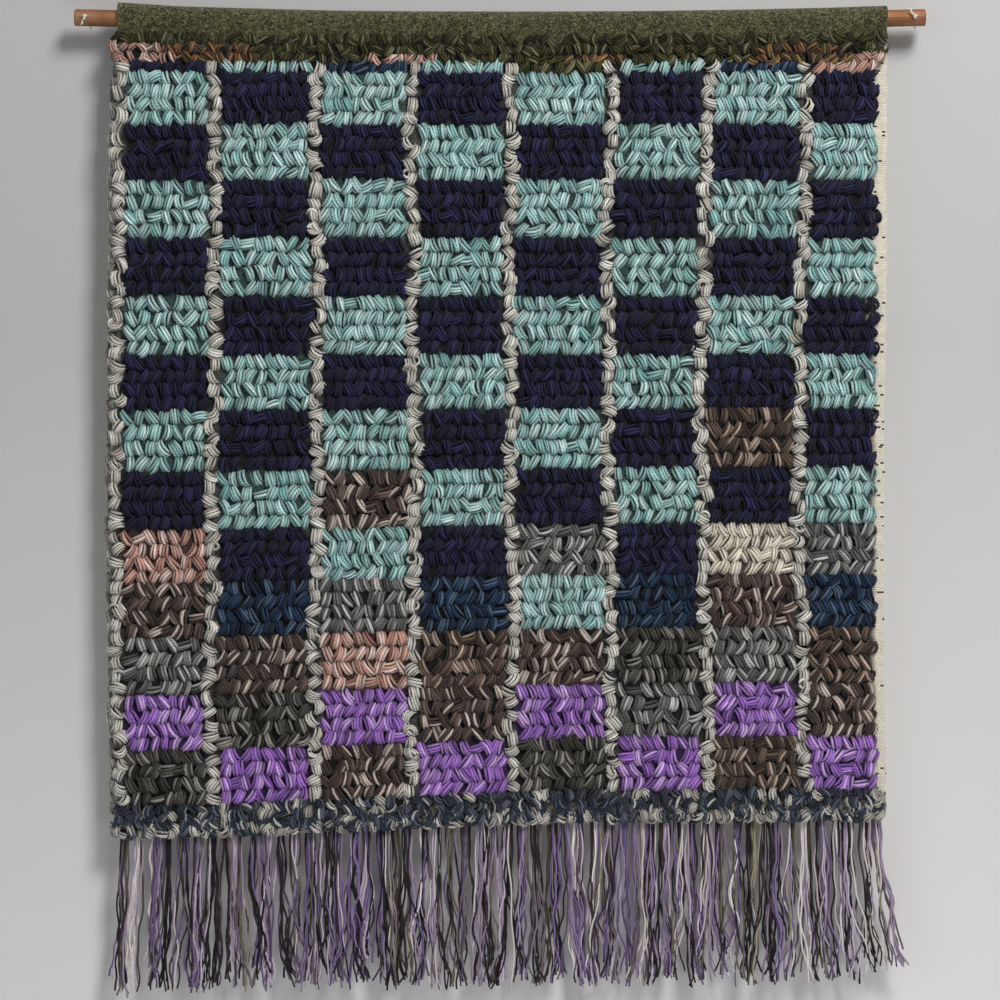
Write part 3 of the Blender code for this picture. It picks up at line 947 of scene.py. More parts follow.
@dataclass
class GroundCloth:
    """The woven cloth: hem behind the rod, sleeve over it, ground behind the pile."""

    plan: ClothPlan
    columns: int = 106
    hem_rows: int = 6
    sleeve_steps: int = 18
    front_rows: int = 74
    olive_depth: float = 0.020
    flat_width: float = 0.720
    flat_length: float = 0.831
    crowding: float = 1.25
    packed: float = 0.002
    dot_strip: float = 0.004
    crease_angle: float = 60.0
    scallops: tuple[Wave, ...] = (Wave(0.0007, 0.0, 260.0), Wave(0.0005, 0.0, 611.0, 1.0))
    ripples: tuple[Wave, ...] = (Wave(0.00025, 61.0, 90.0), Wave(0.0002, 143.0, -60.0))
    attributes: tuple[str, ...] = ("cloth", "zone", "shade")

    def stations(self) -> list[tuple[str, float]]:
        """Stations along the cloth, from the hem behind the rod to the lower edge."""
        rows = [("hem", i / self.hem_rows) for i in range(self.hem_rows)]
        rows += [("turn", math.pi * i / self.sleeve_steps) for i in range(self.sleeve_steps + 1)]
        depth = -self.plan.ground_bottom
        shares = [(i / self.front_rows) ** self.crowding for i in range(1, self.front_rows + 1)]
        return rows + [("front", -depth * share) for share in shares]

    def line(self, station: tuple[str, float], share: Array, outer: bool) -> Array:
        """Points across the cloth at a station.

        Args:
            station: Kind of stretch, and the value along it.
            share: Places from the left edge, 0, to the right one, 1.
            outer: Whether the outer face is asked for.

        Returns:
            Points, as places x 3.
        """
        plan, (kind, value) = self.plan, station
        inner = plan.rod_radius + plan.sleeve_ease
        thick = plan.cloth if outer else 0.0
        level = {"hem": -plan.hem_drop * (1 - value), "turn": 0.0, "front": value}[kind]
        scallop = sum(wave.at(0.0, level) for wave in self.scallops)
        left, right = plan.left(level) - scallop, plan.right(level) + scallop
        x = left + share * (right - left)
        ripple = sum(wave.at(x, level) for wave in self.ripples)
        if kind == "turn":
            lift = np.interp(x, plan.lift_places, plan.lift_heights)
            rise = inner + thick + lift * max(math.sin(value), 0.0)
            y = (inner + thick) * math.cos(value) + ripple
            return np.stack([x, y, plan.rod_height(x) + rise * math.sin(value)], axis=1)
        z = plan.settled(x, np.full_like(x, level))
        if kind == "hem":
            y = plan.hem_gap + (inner - plan.hem_gap) * value + thick
        else:
            y = plan.back_depth(level) - thick
        return np.stack([x, y + plan.swing(x, z) + ripple, z], axis=1)

    def grid(
        self, bm: bmesh.types.BMesh, points: Array, along: Array, pile: "LoopPile", is_outer: bool
    ) -> list[list[bmesh.types.BMVert]]:
        """Adds the points of one face of the cloth, with their attributes.

        Args:
            bm: The mesh.
            points: Points, as stations x places x 3.
            along: Length along the cloth at each station.
            pile: The pile, which shades the cloth under it.
            is_outer: Whether this is the outer face.

        Returns:
            The mesh's points, by station and place.
        """
        place, zone, shade = (bm.verts.layers.float_vector[name] for name in self.attributes)
        made = [[bm.verts.new(point) for point in line] for line in points]
        for i, (kind, value) in enumerate(self.stations()):
            front = kind == "front"
            shown = front and is_outer
            olive = 1.0 if not front or value > -self.olive_depth else 0.0
            shades, rises = pile.roots(points[i, :, 0], value if front else 0.0)
            for j, vert in enumerate(made[i]):
                hidden = min(rises[j] / self.packed, 1.0) if shown else 0.0
                edge = 1.0 if shown and vert.co.x > self.plan.pile_right - self.dot_strip else 0.0
                vert[place] = Vector((vert.co.x, along[i], 0.0))
                vert[zone] = Vector((olive, edge, hidden))
                # The roots' colour, darkened as painted shade.
                vert[shade] = Vector(shades[j])
        return made

    def build(self, wardrobe: Wardrobe, pile: "LoopPile") -> bpy.types.Object:
        """Makes the cloth as one closed sheet.

        Args:
            wardrobe: The finishes.
            pile: The pile whose packed roots raise and shade the cloth's front.

        Returns:
            The cloth.
        """
        rows = self.stations()
        share = np.linspace(0.0, 1.0, self.columns)
        outer, inner = (np.array([self.line(row, share, face) for row in rows]) for face in (True, False))
        steps = np.linalg.norm(np.diff(outer.mean(axis=1), axis=0), axis=1)
        along = np.concatenate([[0.0], np.cumsum(steps)])
        for line, (kind, value) in zip(outer, rows):
            if kind == "front":
                line[:, 1] -= pile.roots(line[:, 0], value)[1]
        bm = bmesh.new()
        for name in self.attributes:
            bm.verts.layers.float_vector.new(name)
        top = self.grid(bm, outer, along, pile, True)
        under = self.grid(bm, inner, along, pile, False)
        last, end = len(rows) - 1, self.columns - 1
        for i in range(last):
            for j in range(end):
                bm.faces.new((top[i][j], top[i][j + 1], top[i + 1][j + 1], top[i + 1][j]))
                bm.faces.new((under[i][j], under[i + 1][j], under[i + 1][j + 1], under[i][j + 1]))
            for j in (0, end):
                bm.faces.new((top[i][j], top[i + 1][j], under[i + 1][j], under[i][j]))
        for j in range(end):
            for i in (0, last):
                bm.faces.new((top[i][j], under[i][j], under[i][j + 1], top[i][j + 1]))
        bmesh.ops.recalc_face_normals(bm, faces=bm.faces)
        mesh = bpy.data.meshes.new("ground_cloth")
        bm.to_mesh(mesh)
        bm.free()
        mesh.shade_smooth()
        mesh.set_sharp_from_angle(angle=math.radians(self.crease_angle))
        return wardrobe.piece("ground_cloth", mesh, wardrobe.cloth, "shag_panel")


class LoopKind(Enum):
    """Kinds of loops, each with the ranges of its sizes, in the order in which they are drawn.

    Strands are counts to choose from. Height adds to the height that the loop is given. A bow with
    both ends above 0 goes to either side.
    """

    BLOCK = dict(
        span=(0.0131, 0.0145), height=(-0.0012, 0.0014), strands=(3, 3, 4, 4, 4), radius=(0.00138, 0.00158),
        turn=(-0.26, 0.26), dip=(0.05, 0.34), bow=(-0.0032, 0.0032),
    )
    BAR = dict(
        span=(0.0116, 0.0156), height=(0.0002, 0.0028), strands=(4, 4, 5), radius=(0.00126, 0.00146),
        turn=(-0.45, 0.45), dip=(0.05, 0.40), bow=(-0.0052, 0.0052),
    )
    HEADING = dict(
        span=(0.0096, 0.0130), height=(-0.0010, 0.0018), strands=(3, 3, 4), radius=(0.00126, 0.00146),
        turn=(-0.45, 0.45), dip=(0.05, 0.55), bow=(-0.0034, 0.0034),
    )
    BAND = dict(
        span=(0.0108, 0.0142), height=(-0.0013, 0.0015), strands=(3, 4, 4), radius=(0.00124, 0.00142),
        bow=(0.0015, 0.0066), turn=(-0.35, 0.35), dip=(0.15, 0.45),
    )
    BAND_CURL = dict(BAND, dip=(0.75, 1.05))
    LEFT_EDGE = dict(
        span=(0.0100, 0.0145), height=(0.0056, 0.0090), strands=(3, 3, 4), radius=(0.00124, 0.00144),
        bow=(-0.0034, 0.0034), turn=(0.75, 1.25), dip=(0.0, 0.4),
    )
    RIGHT_EDGE = dict(
        span=(0.0088, 0.0115), height=(0.0066, 0.0092), strands=(3,), radius=(0.00124, 0.00144),
        turn=(0.35, 0.85), dip=(0.0, 0.4),
    )


@dataclass(frozen=True)
class Tuft:
    """One yarn loop of the pile, a bundle of strands."""

    yarn: Yarn
    place: float
    level: float
    slant: float
    span: float
    height: float
    strands: int
    radius: float
    turn: float
    dip: float
    bow: float = 0.0


@dataclass
class LoopPile:
    """The loop pile: blocks between upright bars, a heading above, a band and edge loops."""

    plan: ClothPlan
    pitch: float = 0.0103
    pile: float = 0.0104
    root: float = 0.0048
    # Painted shade of the roots: their share of the yarn's colour, and the power that deepens it.
    root_painted_shade: float = 0.22
    root_depth: float = 1.5
    root_top: float = -0.0150
    root_side: float = 0.003
    root_slope: float = 0.004
    bar_root: float = 0.45
    rows_in_block: int = 4
    rings: tuple[float, ...] = (0.04, 0.21, 0.40, 0.60, 0.79, 0.96)
    sides: int = 4
    half_at: float = -0.36
    deepest: float = 0.0003
    heading_pitch: float = 0.0077
    bar_step: float = 0.0116
    curl_rings: int = 10
    curl_share: float = 0.16
    curl_height: float = 0.0100
    curl_fall: float = 0.0062
    curl_apart: float = 0.0021
    curl_radius: float = 0.00128
    band_pitch: float = 0.0100
    band_height: float = 0.0095
    heading_low: float = 0.0042
    heading_rise: float = 0.0012
    block_end_low: float = 0.0008
    stagger: float = 0.11
    least_rise: float = 0.84
    overhang: float = 0.008
    edge_bottom: float = -0.744
    stray_share: float = 0.55
    packing: float = 0.87
    crown_drop: float = 0.24
    shoulder: float = 0.62
    seat_fade: float = 0.86
    thin_end: float = 0.80
    row_lines: tuple[float, ...] = (
        -0.0500, -0.1005, -0.1519, -0.2062, -0.2604, -0.3156, -0.3670,
        -0.4250, -0.4792, -0.5278, -0.5793, -0.6335, -0.6849, -0.7363,
    )
    heading_levels: tuple[float, ...] = (-0.0185, -0.0275, -0.0362, -0.0455)
    band_levels: tuple[float, ...] = (-0.7400, -0.7475, -0.7545, -0.7605, -0.7632)
    band_pale: tuple[float, ...] = (0.28, 0.12, 0.14, 0.36, 0.62)
    chance: np.random.Generator = field(default_factory=lambda: np.random.default_rng(7))
    accents: dict[int, str] = field(
        default_factory=lambda: {
            6: "MNMNMNBN",
            7: "NMKMNMNM",
            8: "RNMNGNCG",
            9: "KTGTMTKT",
            10: "GKRBKOGB",
            11: "POPKPGPK",
            12: "OPKPOPBP",
        }
    )
    letters: dict[str, Yarn] = field(
        default_factory=lambda: {
            "M": Yarn.MINT,
            "N": Yarn.NAVY,
            "B": Yarn.BROWN_MARL,
            "K": Yarn.OAT_MARL,
            "G": Yarn.GREY_MARL,
            "R": Yarn.ROSE,
            "C": Yarn.CREAM,
            "T": Yarn.TEAL,
            "P": Yarn.PURPLE,
            "O": Yarn.MOSS,
        }
    )
    heading: tuple[tuple[int, float, float, Yarn], ...] = (
        (1, -0.370, -0.318, Yarn.ROSE),
        (2, -0.370, -0.310, Yarn.ROSE),
        (1, -0.318, -0.236, Yarn.RUST),
        (2, -0.310, -0.228, Yarn.RUST),
        (2, -0.128, -0.062, Yarn.ROSE),
        (2, 0.058, 0.120, Yarn.RUST),
        (1, 0.236, 0.310, Yarn.RUST),
        (2, 0.228, 0.322, Yarn.RUST),
        (2, 0.322, 0.370, Yarn.ROSE),
    )
    first_row: tuple[Yarn, ...] = (
        Yarn.NAVY, Yarn.MINT, Yarn.TEAL, Yarn.MINT, Yarn.OLIVE, Yarn.MINT, Yarn.TEAL, Yarn.ROSE,
    )

    def draw(self, low: float, high: float) -> float:
        """A chance value between two numbers."""
        return float(self.chance.uniform(low, high))

    def pick(self, *counts: int) -> int:
        """One of several counts by chance, or the only one."""
        return int(self.chance.choice(counts)) if len(counts) > 1 else counts[0]

    def either(self) -> int:
        """One way or the other, 1 or -1, by chance."""
        return 1 if self.draw(0.0, 1.0) < 0.5 else -1

    def tuft(
        self, kind: LoopKind, yarn: Yarn, place: float, level: float, slant: float, high: float
    ) -> Tuft:
        """Draws the sizes of a loop.

        Args:
            kind: Its kind.
            yarn: Its yarn.
            place: Its place across the cloth.
            level: Its level.
            slant: Its slant from upright.
            high: The height that its kind's range adds to.

        Returns:
            The loop.
        """
        sizes = {}
        for name, ends in kind.value.items():
            sizes[name] = self.pick(*ends) if name == "strands" else self.draw(*ends)
            if name == "bow" and ends[0] > 0:
                sizes[name] *= self.either()
        sizes["height"] += high
        return Tuft(yarn=yarn, place=place, level=level, slant=slant, **sizes)

    def left_end(self) -> float:
        """Left end of the heading and the band."""
        return self.plan.bars[0] - self.plan.bar_width / 2

    def block_rows(self) -> list[tuple[int, float, float]]:
        """Number, upper line and step from loop to loop of each row of blocks."""
        lines = zip(self.row_lines, self.row_lines[1:])
        return [(row, top, (top - bottom) / self.rows_in_block) for row, (top, bottom) in enumerate(lines)]

    def block_yarn(self, row: int, column: int) -> Yarn:
        """Yarn of a block: the plain check, or an accent row's own."""
        if row in self.accents:
            return self.letters[self.accents[row][column]]
        return Yarn.MINT if (row + column) % 2 == 0 else Yarn.NAVY

    def spans(self) -> list[tuple[float, float]]:
        """Left and right ends of each column of blocks."""
        half = self.plan.bar_width / 2
        ends = [bar - half for bar in self.plan.bars[1:]] + [self.plan.pile_right]
        return [(bar + half, end) for bar, end in zip(self.plan.bars, ends)]

    def roots(self, x: Array, level: float) -> tuple[Array, Array]:
        """Colour and height of the pile's packed roots along a line across the cloth, the colour darkened as
        painted shade.

        Args:
            x: Places across the cloth.
            level: Level of the line.

        Returns:
            A colour for each place, its yarn's colour darkened as painted shade, and the roots' height over
            the cloth there.
        """
        bars = self.plan.across(np.array(self.plan.bars), np.full(len(self.plan.bars), level))
        row = sum(line > level for line in self.row_lines) - 1
        yarns = [self.root_yarn(row, column) for column in range(len(bars))]
        shades = np.array([FINISH_OF[yarn].first for yarn in yarns])
        shade = shades[np.clip(np.searchsorted(bars, x) - 1, 0, len(bars) - 1)]
        near = np.min(np.abs(x[:, None] - bars[None]), axis=1) < self.plan.bar_width * self.bar_root
        if row >= 0:
            shade[near] = FINISH_OF[Yarn.BAR_CREAM].first
        inside = np.clip((x - float(self.plan.left(level)) - self.root_side) / self.root_side, 0.0, 1.0)
        inside *= np.clip((self.plan.pile_right - 0.001 - x) / self.root_side, 0.0, 1.0)
        below = np.clip((self.root_top - level) / self.root_slope, 0.0, 1.0)
        above = np.clip((level - self.plan.ground_bottom) / self.root_slope, 0.0, 1.0)
        # Painted shade: the roots take their yarn's first colour, darkened and deepened.
        return shade**self.root_depth * self.root_painted_shade, self.root * inside * below * above

    def root_yarn(self, row: int, column: int) -> Yarn:
        """Yarn whose roots fill a column at a row of blocks, above them or below them."""
        if row < 0:
            return Yarn.OLIVE
        if row >= len(self.row_lines) - 1:
            return Yarn.BAND
        return self.block_yarn(row, column)

    def slant(self, row: int) -> float:
        """Slant of a loop from upright: by turns to either side, and now and then the other way."""
        kind = self.draw(0.0, 1.0)
        if kind < 0.05:
            return math.radians(self.draw(60.0, 84.0))
        sign = 1 if row % 2 else -1
        if kind < 0.22:
            sign = -sign
        return sign * math.radians(self.draw(8.0, 40.0))

    def fill_row(
        self, yarn: Yarn, start: float, end: float, level: float, row: int, low: float
    ) -> list[Tuft]:
        """Loops side by side along one row of a block.

        Args:
            yarn: Their yarn.
            start: Left end of the row.
            end: Right end of the row.
            level: Level of the row.
            row: Number of the row down the cloth.
            low: How much lower than the pile the loops stand.

        Returns:
            The loops.
        """
        count = max(1, round((end - start) / self.pitch))
        stagger = self.stagger if row % 2 else -self.stagger
        step = (end - start) / count
        made = []
        for i in range(count):
            place = start + (i + 0.5 + stagger + self.draw(-0.10, 0.10)) * step
            slant = self.slant(row)
            own = level + self.draw(-0.0007, 0.0007)
            loop = self.tuft(LoopKind.BLOCK, yarn, place, own, slant, self.pile - low)
            made.append(replace(loop, span=loop.span / max(math.cos(slant), self.least_rise)))
        return made

    def blocks(self) -> list[Tuft]:
        """Loops of all the blocks."""
        made = []
        for row, top, step in self.block_rows():
            for column, (start, end) in enumerate(self.spans()):
                yarn = self.block_yarn(row, column)
                slope = self.draw(-0.0010, 0.0010)
                for k in range(self.rows_in_block):
                    level = top - (k + 0.5) * step + slope
                    low = self.block_end_low if k in (0, self.rows_in_block - 1) else 0.0
                    made += self.fill_row(yarn, start, end, level, row * self.rows_in_block + k, low)
        return made

    def bars(self) -> list[Tuft]:
        """Loops of the upright cream bars, one under the other."""
        levels = np.arange(self.heading_levels[-1], self.row_lines[-1] + 0.004, -self.bar_step)
        made = []
        for middle in self.plan.bars:
            for row, level in enumerate(levels):
                sign = 1 if (row + round(middle * 100)) % 2 else -1
                place = middle + self.draw(-0.0020, 0.0020)
                own = float(level) + self.draw(-0.0014, 0.0014)
                slant = sign * math.radians(self.draw(-8.0, 76.0))
                made.append(self.tuft(LoopKind.BAR, Yarn.BAR_CREAM, place, own, slant, self.pile))
        return made

    def heading_rows(self) -> list[Tuft]:
        """Olive loops under the sleeve with their accents, and the short first row of each column."""
        made = []
        for row, level in enumerate(self.heading_levels[:-1]):
            low = self.pile - self.heading_low + self.heading_rise * row
            place = self.left_end()
            while place < self.plan.pile_right + self.overhang:
                marks = [y for r, a, b, y in self.heading if r == row and a <= place < b]
                yarn = marks[0] if marks else Yarn.OLIVE
                seat = place + self.draw(0.0, 0.0030)
                own = level + self.draw(-0.0012, 0.0012)
                slant = math.radians(self.draw(-65.0, 65.0))
                made.append(self.tuft(LoopKind.HEADING, yarn, seat, own, slant, low))
                place += self.heading_pitch
        for yarn, (start, end) in zip(self.first_row, self.spans()):
            made += self.fill_row(yarn, start, end, self.heading_levels[-1], 3, 0.0012)
        return made

    def band(self) -> list[Tuft]:
        """Mixed loops of the band along the lower edge, the last row curling over it."""
        made = []
        start = self.left_end() - 0.0005
        end = self.plan.pile_right + self.overhang
        count = round((end - start) / self.band_pitch)
        for row, (level, pale) in enumerate(zip(self.band_levels, self.band_pale)):
            kind = LoopKind.BAND_CURL if row == len(self.band_levels) - 1 else LoopKind.BAND
            for i in range(count):
                yarn = Yarn.BAR_CREAM if self.draw(0.0, 1.0) < pale else Yarn.BAND
                place = start + (i + 0.5 + self.draw(-0.3, 0.3)) * (end - start) / count
                own = max(level + self.draw(-0.0010, 0.0010), self.plan.ground_bottom)
                slant = math.radians(self.draw(-34.0, 62.0) * (1 if row % 2 else -1))
                made.append(self.tuft(kind, yarn, place, own, slant, self.band_height))
        return made

    def edges(self) -> list[Tuft]:
        """Loops that curl over the left edge, and stray ones over the bare strip at the right."""
        made = []
        level = self.row_lines[0]
        left = float(self.plan.left(self.plan.half_height))
        while level > self.edge_bottom:
            place = left + self.draw(0.0006, 0.0024)
            slant = math.radians(self.draw(-38.0, 38.0))
            loop = self.tuft(LoopKind.LEFT_EDGE, Yarn.BAR_CREAM, place, level, slant, 0.0)
            made.append(replace(loop, turn=-loop.turn))
            level -= self.draw(0.0086, 0.0116)
        for row, top, step in self.block_rows():
            yarn = self.block_yarn(row, len(self.plan.bars) - 1)
            for k in range(self.rows_in_block):
                if self.draw(0.0, 1.0) < self.stray_share:
                    place = self.plan.pile_right + self.draw(-0.004, -0.001)
                    slant = math.radians(self.draw(-60.0, 60.0))
                    level = top - (k + 0.5) * step
                    made.append(self.tuft(LoopKind.RIGHT_EDGE, yarn, place, level, slant, 0.0))
        return made

    def curl(
        self, centre: Array, reach: float, start: float, turned: float, squash: float
    ) -> tuple[Array, Array]:
        """Centre line of an open curl.

        Args:
            centre: Point of the cloth under it.
            reach: Its radius.
            start: Angle of its middle.
            turned: Angle that it turns through.
            squash: Its height over its width.

        Returns:
            The points, as rings x 3, and their heights over the cloth.
        """
        t = np.linspace(0.0, 1.0, self.curl_rings)
        angle = start + turned * (t - 0.5) + self.draw(-0.15, 0.15)
        top = self.curl_height + self.draw(-0.0006, 0.0018)
        high = top - self.curl_fall * np.abs(2 * t - 1) ** 3
        path = centre + np.stack([reach * np.cos(angle), -high, reach * squash * np.sin(angle)], axis=1)
        return path, high

    def curls(self) -> StrandBatch:
        """Open curls of cream yarn that stand out of the bars and the left edge."""
        batch = StrandBatch(self.sides)
        radius = np.full((1, self.curl_rings), self.curl_radius)
        level = self.row_lines[0]
        while level > self.row_lines[-1]:
            for middle in self.plan.bars:
                if self.draw(0.0, 1.0) > self.curl_share:
                    continue
                place = middle + self.draw(-0.0030, 0.0030)
                centre = self.plan.front(np.array([place]), np.array([level + self.draw(-0.005, 0.005)]))[0]
                count = self.pick(1, 1, 2)
                wide, start = self.draw(0.0036, 0.0050), self.draw(0.0, 2 * math.pi)
                turned = self.draw(3.6, 5.6) * self.either()
                squash = self.draw(0.70, 1.0)
                for number in range(count):
                    reach = wide + number * self.curl_apart
                    path, high = self.curl(centre, reach, start, turned, squash)
                    tone = np.empty((1, self.curl_rings, 3))
                    tone[:, :, 0] = self.draw(0.0, 1.0)
                    tone[:, :, 1] = 0.8
                    # Height in the pile, which the material turns into painted shade.
                    tone[:, :, 2] = np.clip(high / self.pile, 0.0, 1.0)
                    batch.add(path[None], np.array([[0.0, 0.0, 1.0]]), radius, tone)
            level -= self.pitch * 1.2
        return batch

    def directions(self, turn: Array, dip: Array, slant: Array) -> tuple[Array, Array, Array]:
        """Directions of loops: out of the pile, along the loop and across it.

        Args:
            turn: How far each loop turns sideways.
            dip: How far it dips.
            slant: Its slant from upright.

        Returns:
            The three directions, each as loops x 3.
        """
        flat = np.cos(dip)
        out = np.stack([np.sin(turn) * flat, -np.cos(turn) * flat, -np.sin(dip)], axis=1)
        run = np.stack([np.sin(slant), np.zeros(len(slant)), np.cos(slant)], axis=1)
        run -= out * np.sum(run * out, axis=1, keepdims=True)
        run /= np.linalg.norm(run, axis=1, keepdims=True)
        return out, run, np.cross(run, out)

    def strands(self, tufts: list[Tuft]) -> StrandBatch:
        """Strands of the loops.

        Args:
            tufts: The loops.

        Returns:
            Their strands.
        """
        columns = ("place", "level", "slant", "span", "height", "radius", "turn", "dip", "bow")
        counts = np.array([tuft.strands for tuft in tufts])
        own = {name: np.repeat([getattr(tuft, name) for tuft in tufts], counts) for name in columns}
        total = int(counts.sum())
        number = np.arange(total) - np.repeat(np.cumsum(counts) - counts, counts)
        wide = np.repeat(counts, counts)
        seat = (2 * number - (wide - 1)) / np.maximum(wide - 1, 1)
        half = (wide - 1) * own["radius"] * self.packing
        chance = self.chance
        slant = own["slant"] + chance.uniform(-0.09, 0.09, total)
        out, run, side = self.directions(own["turn"], own["dip"], slant)
        t = np.array(self.rings)[None]
        arch = np.sin(math.pi * t)
        bulge = np.repeat(chance.uniform(0.05, 0.30, len(tufts)), counts)[:, None]
        stretch = chance.uniform(0.92, 1.06, total)[:, None]
        along = -np.cos(math.pi * t) * own["span"][:, None] / 2 * (1 + bulge * arch) * stretch
        crown = 1 - self.crown_drop * seat[:, None] ** 2 + chance.uniform(-0.05, 0.05, total)[:, None]
        rise = own["height"][:, None] * arch**self.shoulder * crown
        twist = np.repeat(chance.uniform(-0.6, 0.6, len(tufts)), counts)[:, None] * (t - 0.5) * 2
        shift = (seat * half)[:, None] * np.cos(twist) * (self.seat_fade + (1 - self.seat_fade) * arch)
        shift = shift + chance.uniform(-0.0003, 0.0003, total)[:, None]
        bow = own["bow"] + chance.uniform(-0.0006, 0.0006, total)
        shift = shift + bow[:, None] * (arch - 0.6)
        rise = rise + (seat * half)[:, None] * np.sin(twist) * 0.8
        foot = self.plan.front(own["place"], own["level"])
        path = (
            foot[:, None]
            + along[:, :, None] * run[:, None]
            + rise[:, :, None] * out[:, None]
            + shift[:, :, None] * side[:, None]
        )
        flat = (np.abs(own["turn"]) < 0.6) & (own["dip"] < 0.6)
        deepest = np.where(flat, foot[:, 1] + self.deepest, np.inf)
        path[:, :, 1] = np.minimum(path[:, :, 1], deepest[:, None])
        taper = self.thin_end + (1 - self.thin_end) * arch
        radius = own["radius"][:, None] * chance.uniform(0.90, 1.08, total)[:, None] * taper
        tone = np.empty((total, len(self.rings), 3))
        tone[:, :, 0] = chance.uniform(0.0, 1.0, total)[:, None]
        tone[:, :, 1] = np.repeat(chance.uniform(0.0, 1.0, len(tufts)), counts)[:, None]
        # Height in the pile, which the material turns into painted shade.
        tone[:, :, 2] = np.clip(rise / self.pile, 0.0, 1.0)
        batch = StrandBatch(self.sides)
        batch.add(path, side, radius, tone)
        return batch

    def build(self, wardrobe: Wardrobe) -> list[bpy.types.Object]:
        """Makes the pile, one piece for each yarn, the check's two yarns in two halves.

        Args:
            wardrobe: The finishes.

        Returns:
            The pieces.
        """
        tufts = self.blocks() + self.bars() + self.heading_rows() + self.band() + self.edges()
        LOG.info("pile: %d loops", len(tufts))
        pieces = []
        for yarn in Yarn:
            own = [tuft for tuft in tufts if tuft.yarn is yarn]
            halves = [("", own)]
            if yarn in (Yarn.MINT, Yarn.NAVY):
                upper = [tuft for tuft in own if tuft.level > self.half_at]
                lower = [tuft for tuft in own if tuft.level <= self.half_at]
                halves = [("_upper", upper), ("_lower", lower)]
            for half, group in halves:
                if group:
                    name = "pile_" + yarn.value + half
                    mesh = self.strands(group).mesh(name)
                    pieces.append(wardrobe.piece(name, mesh, wardrobe.yarns[yarn], "shag_panel"))
        curls = self.curls().mesh("pile_curls")
        cream = wardrobe.yarns[Yarn.BAR_CREAM]
        return pieces + [wardrobe.piece("pile_curls", curls, cream, "shag_panel")]


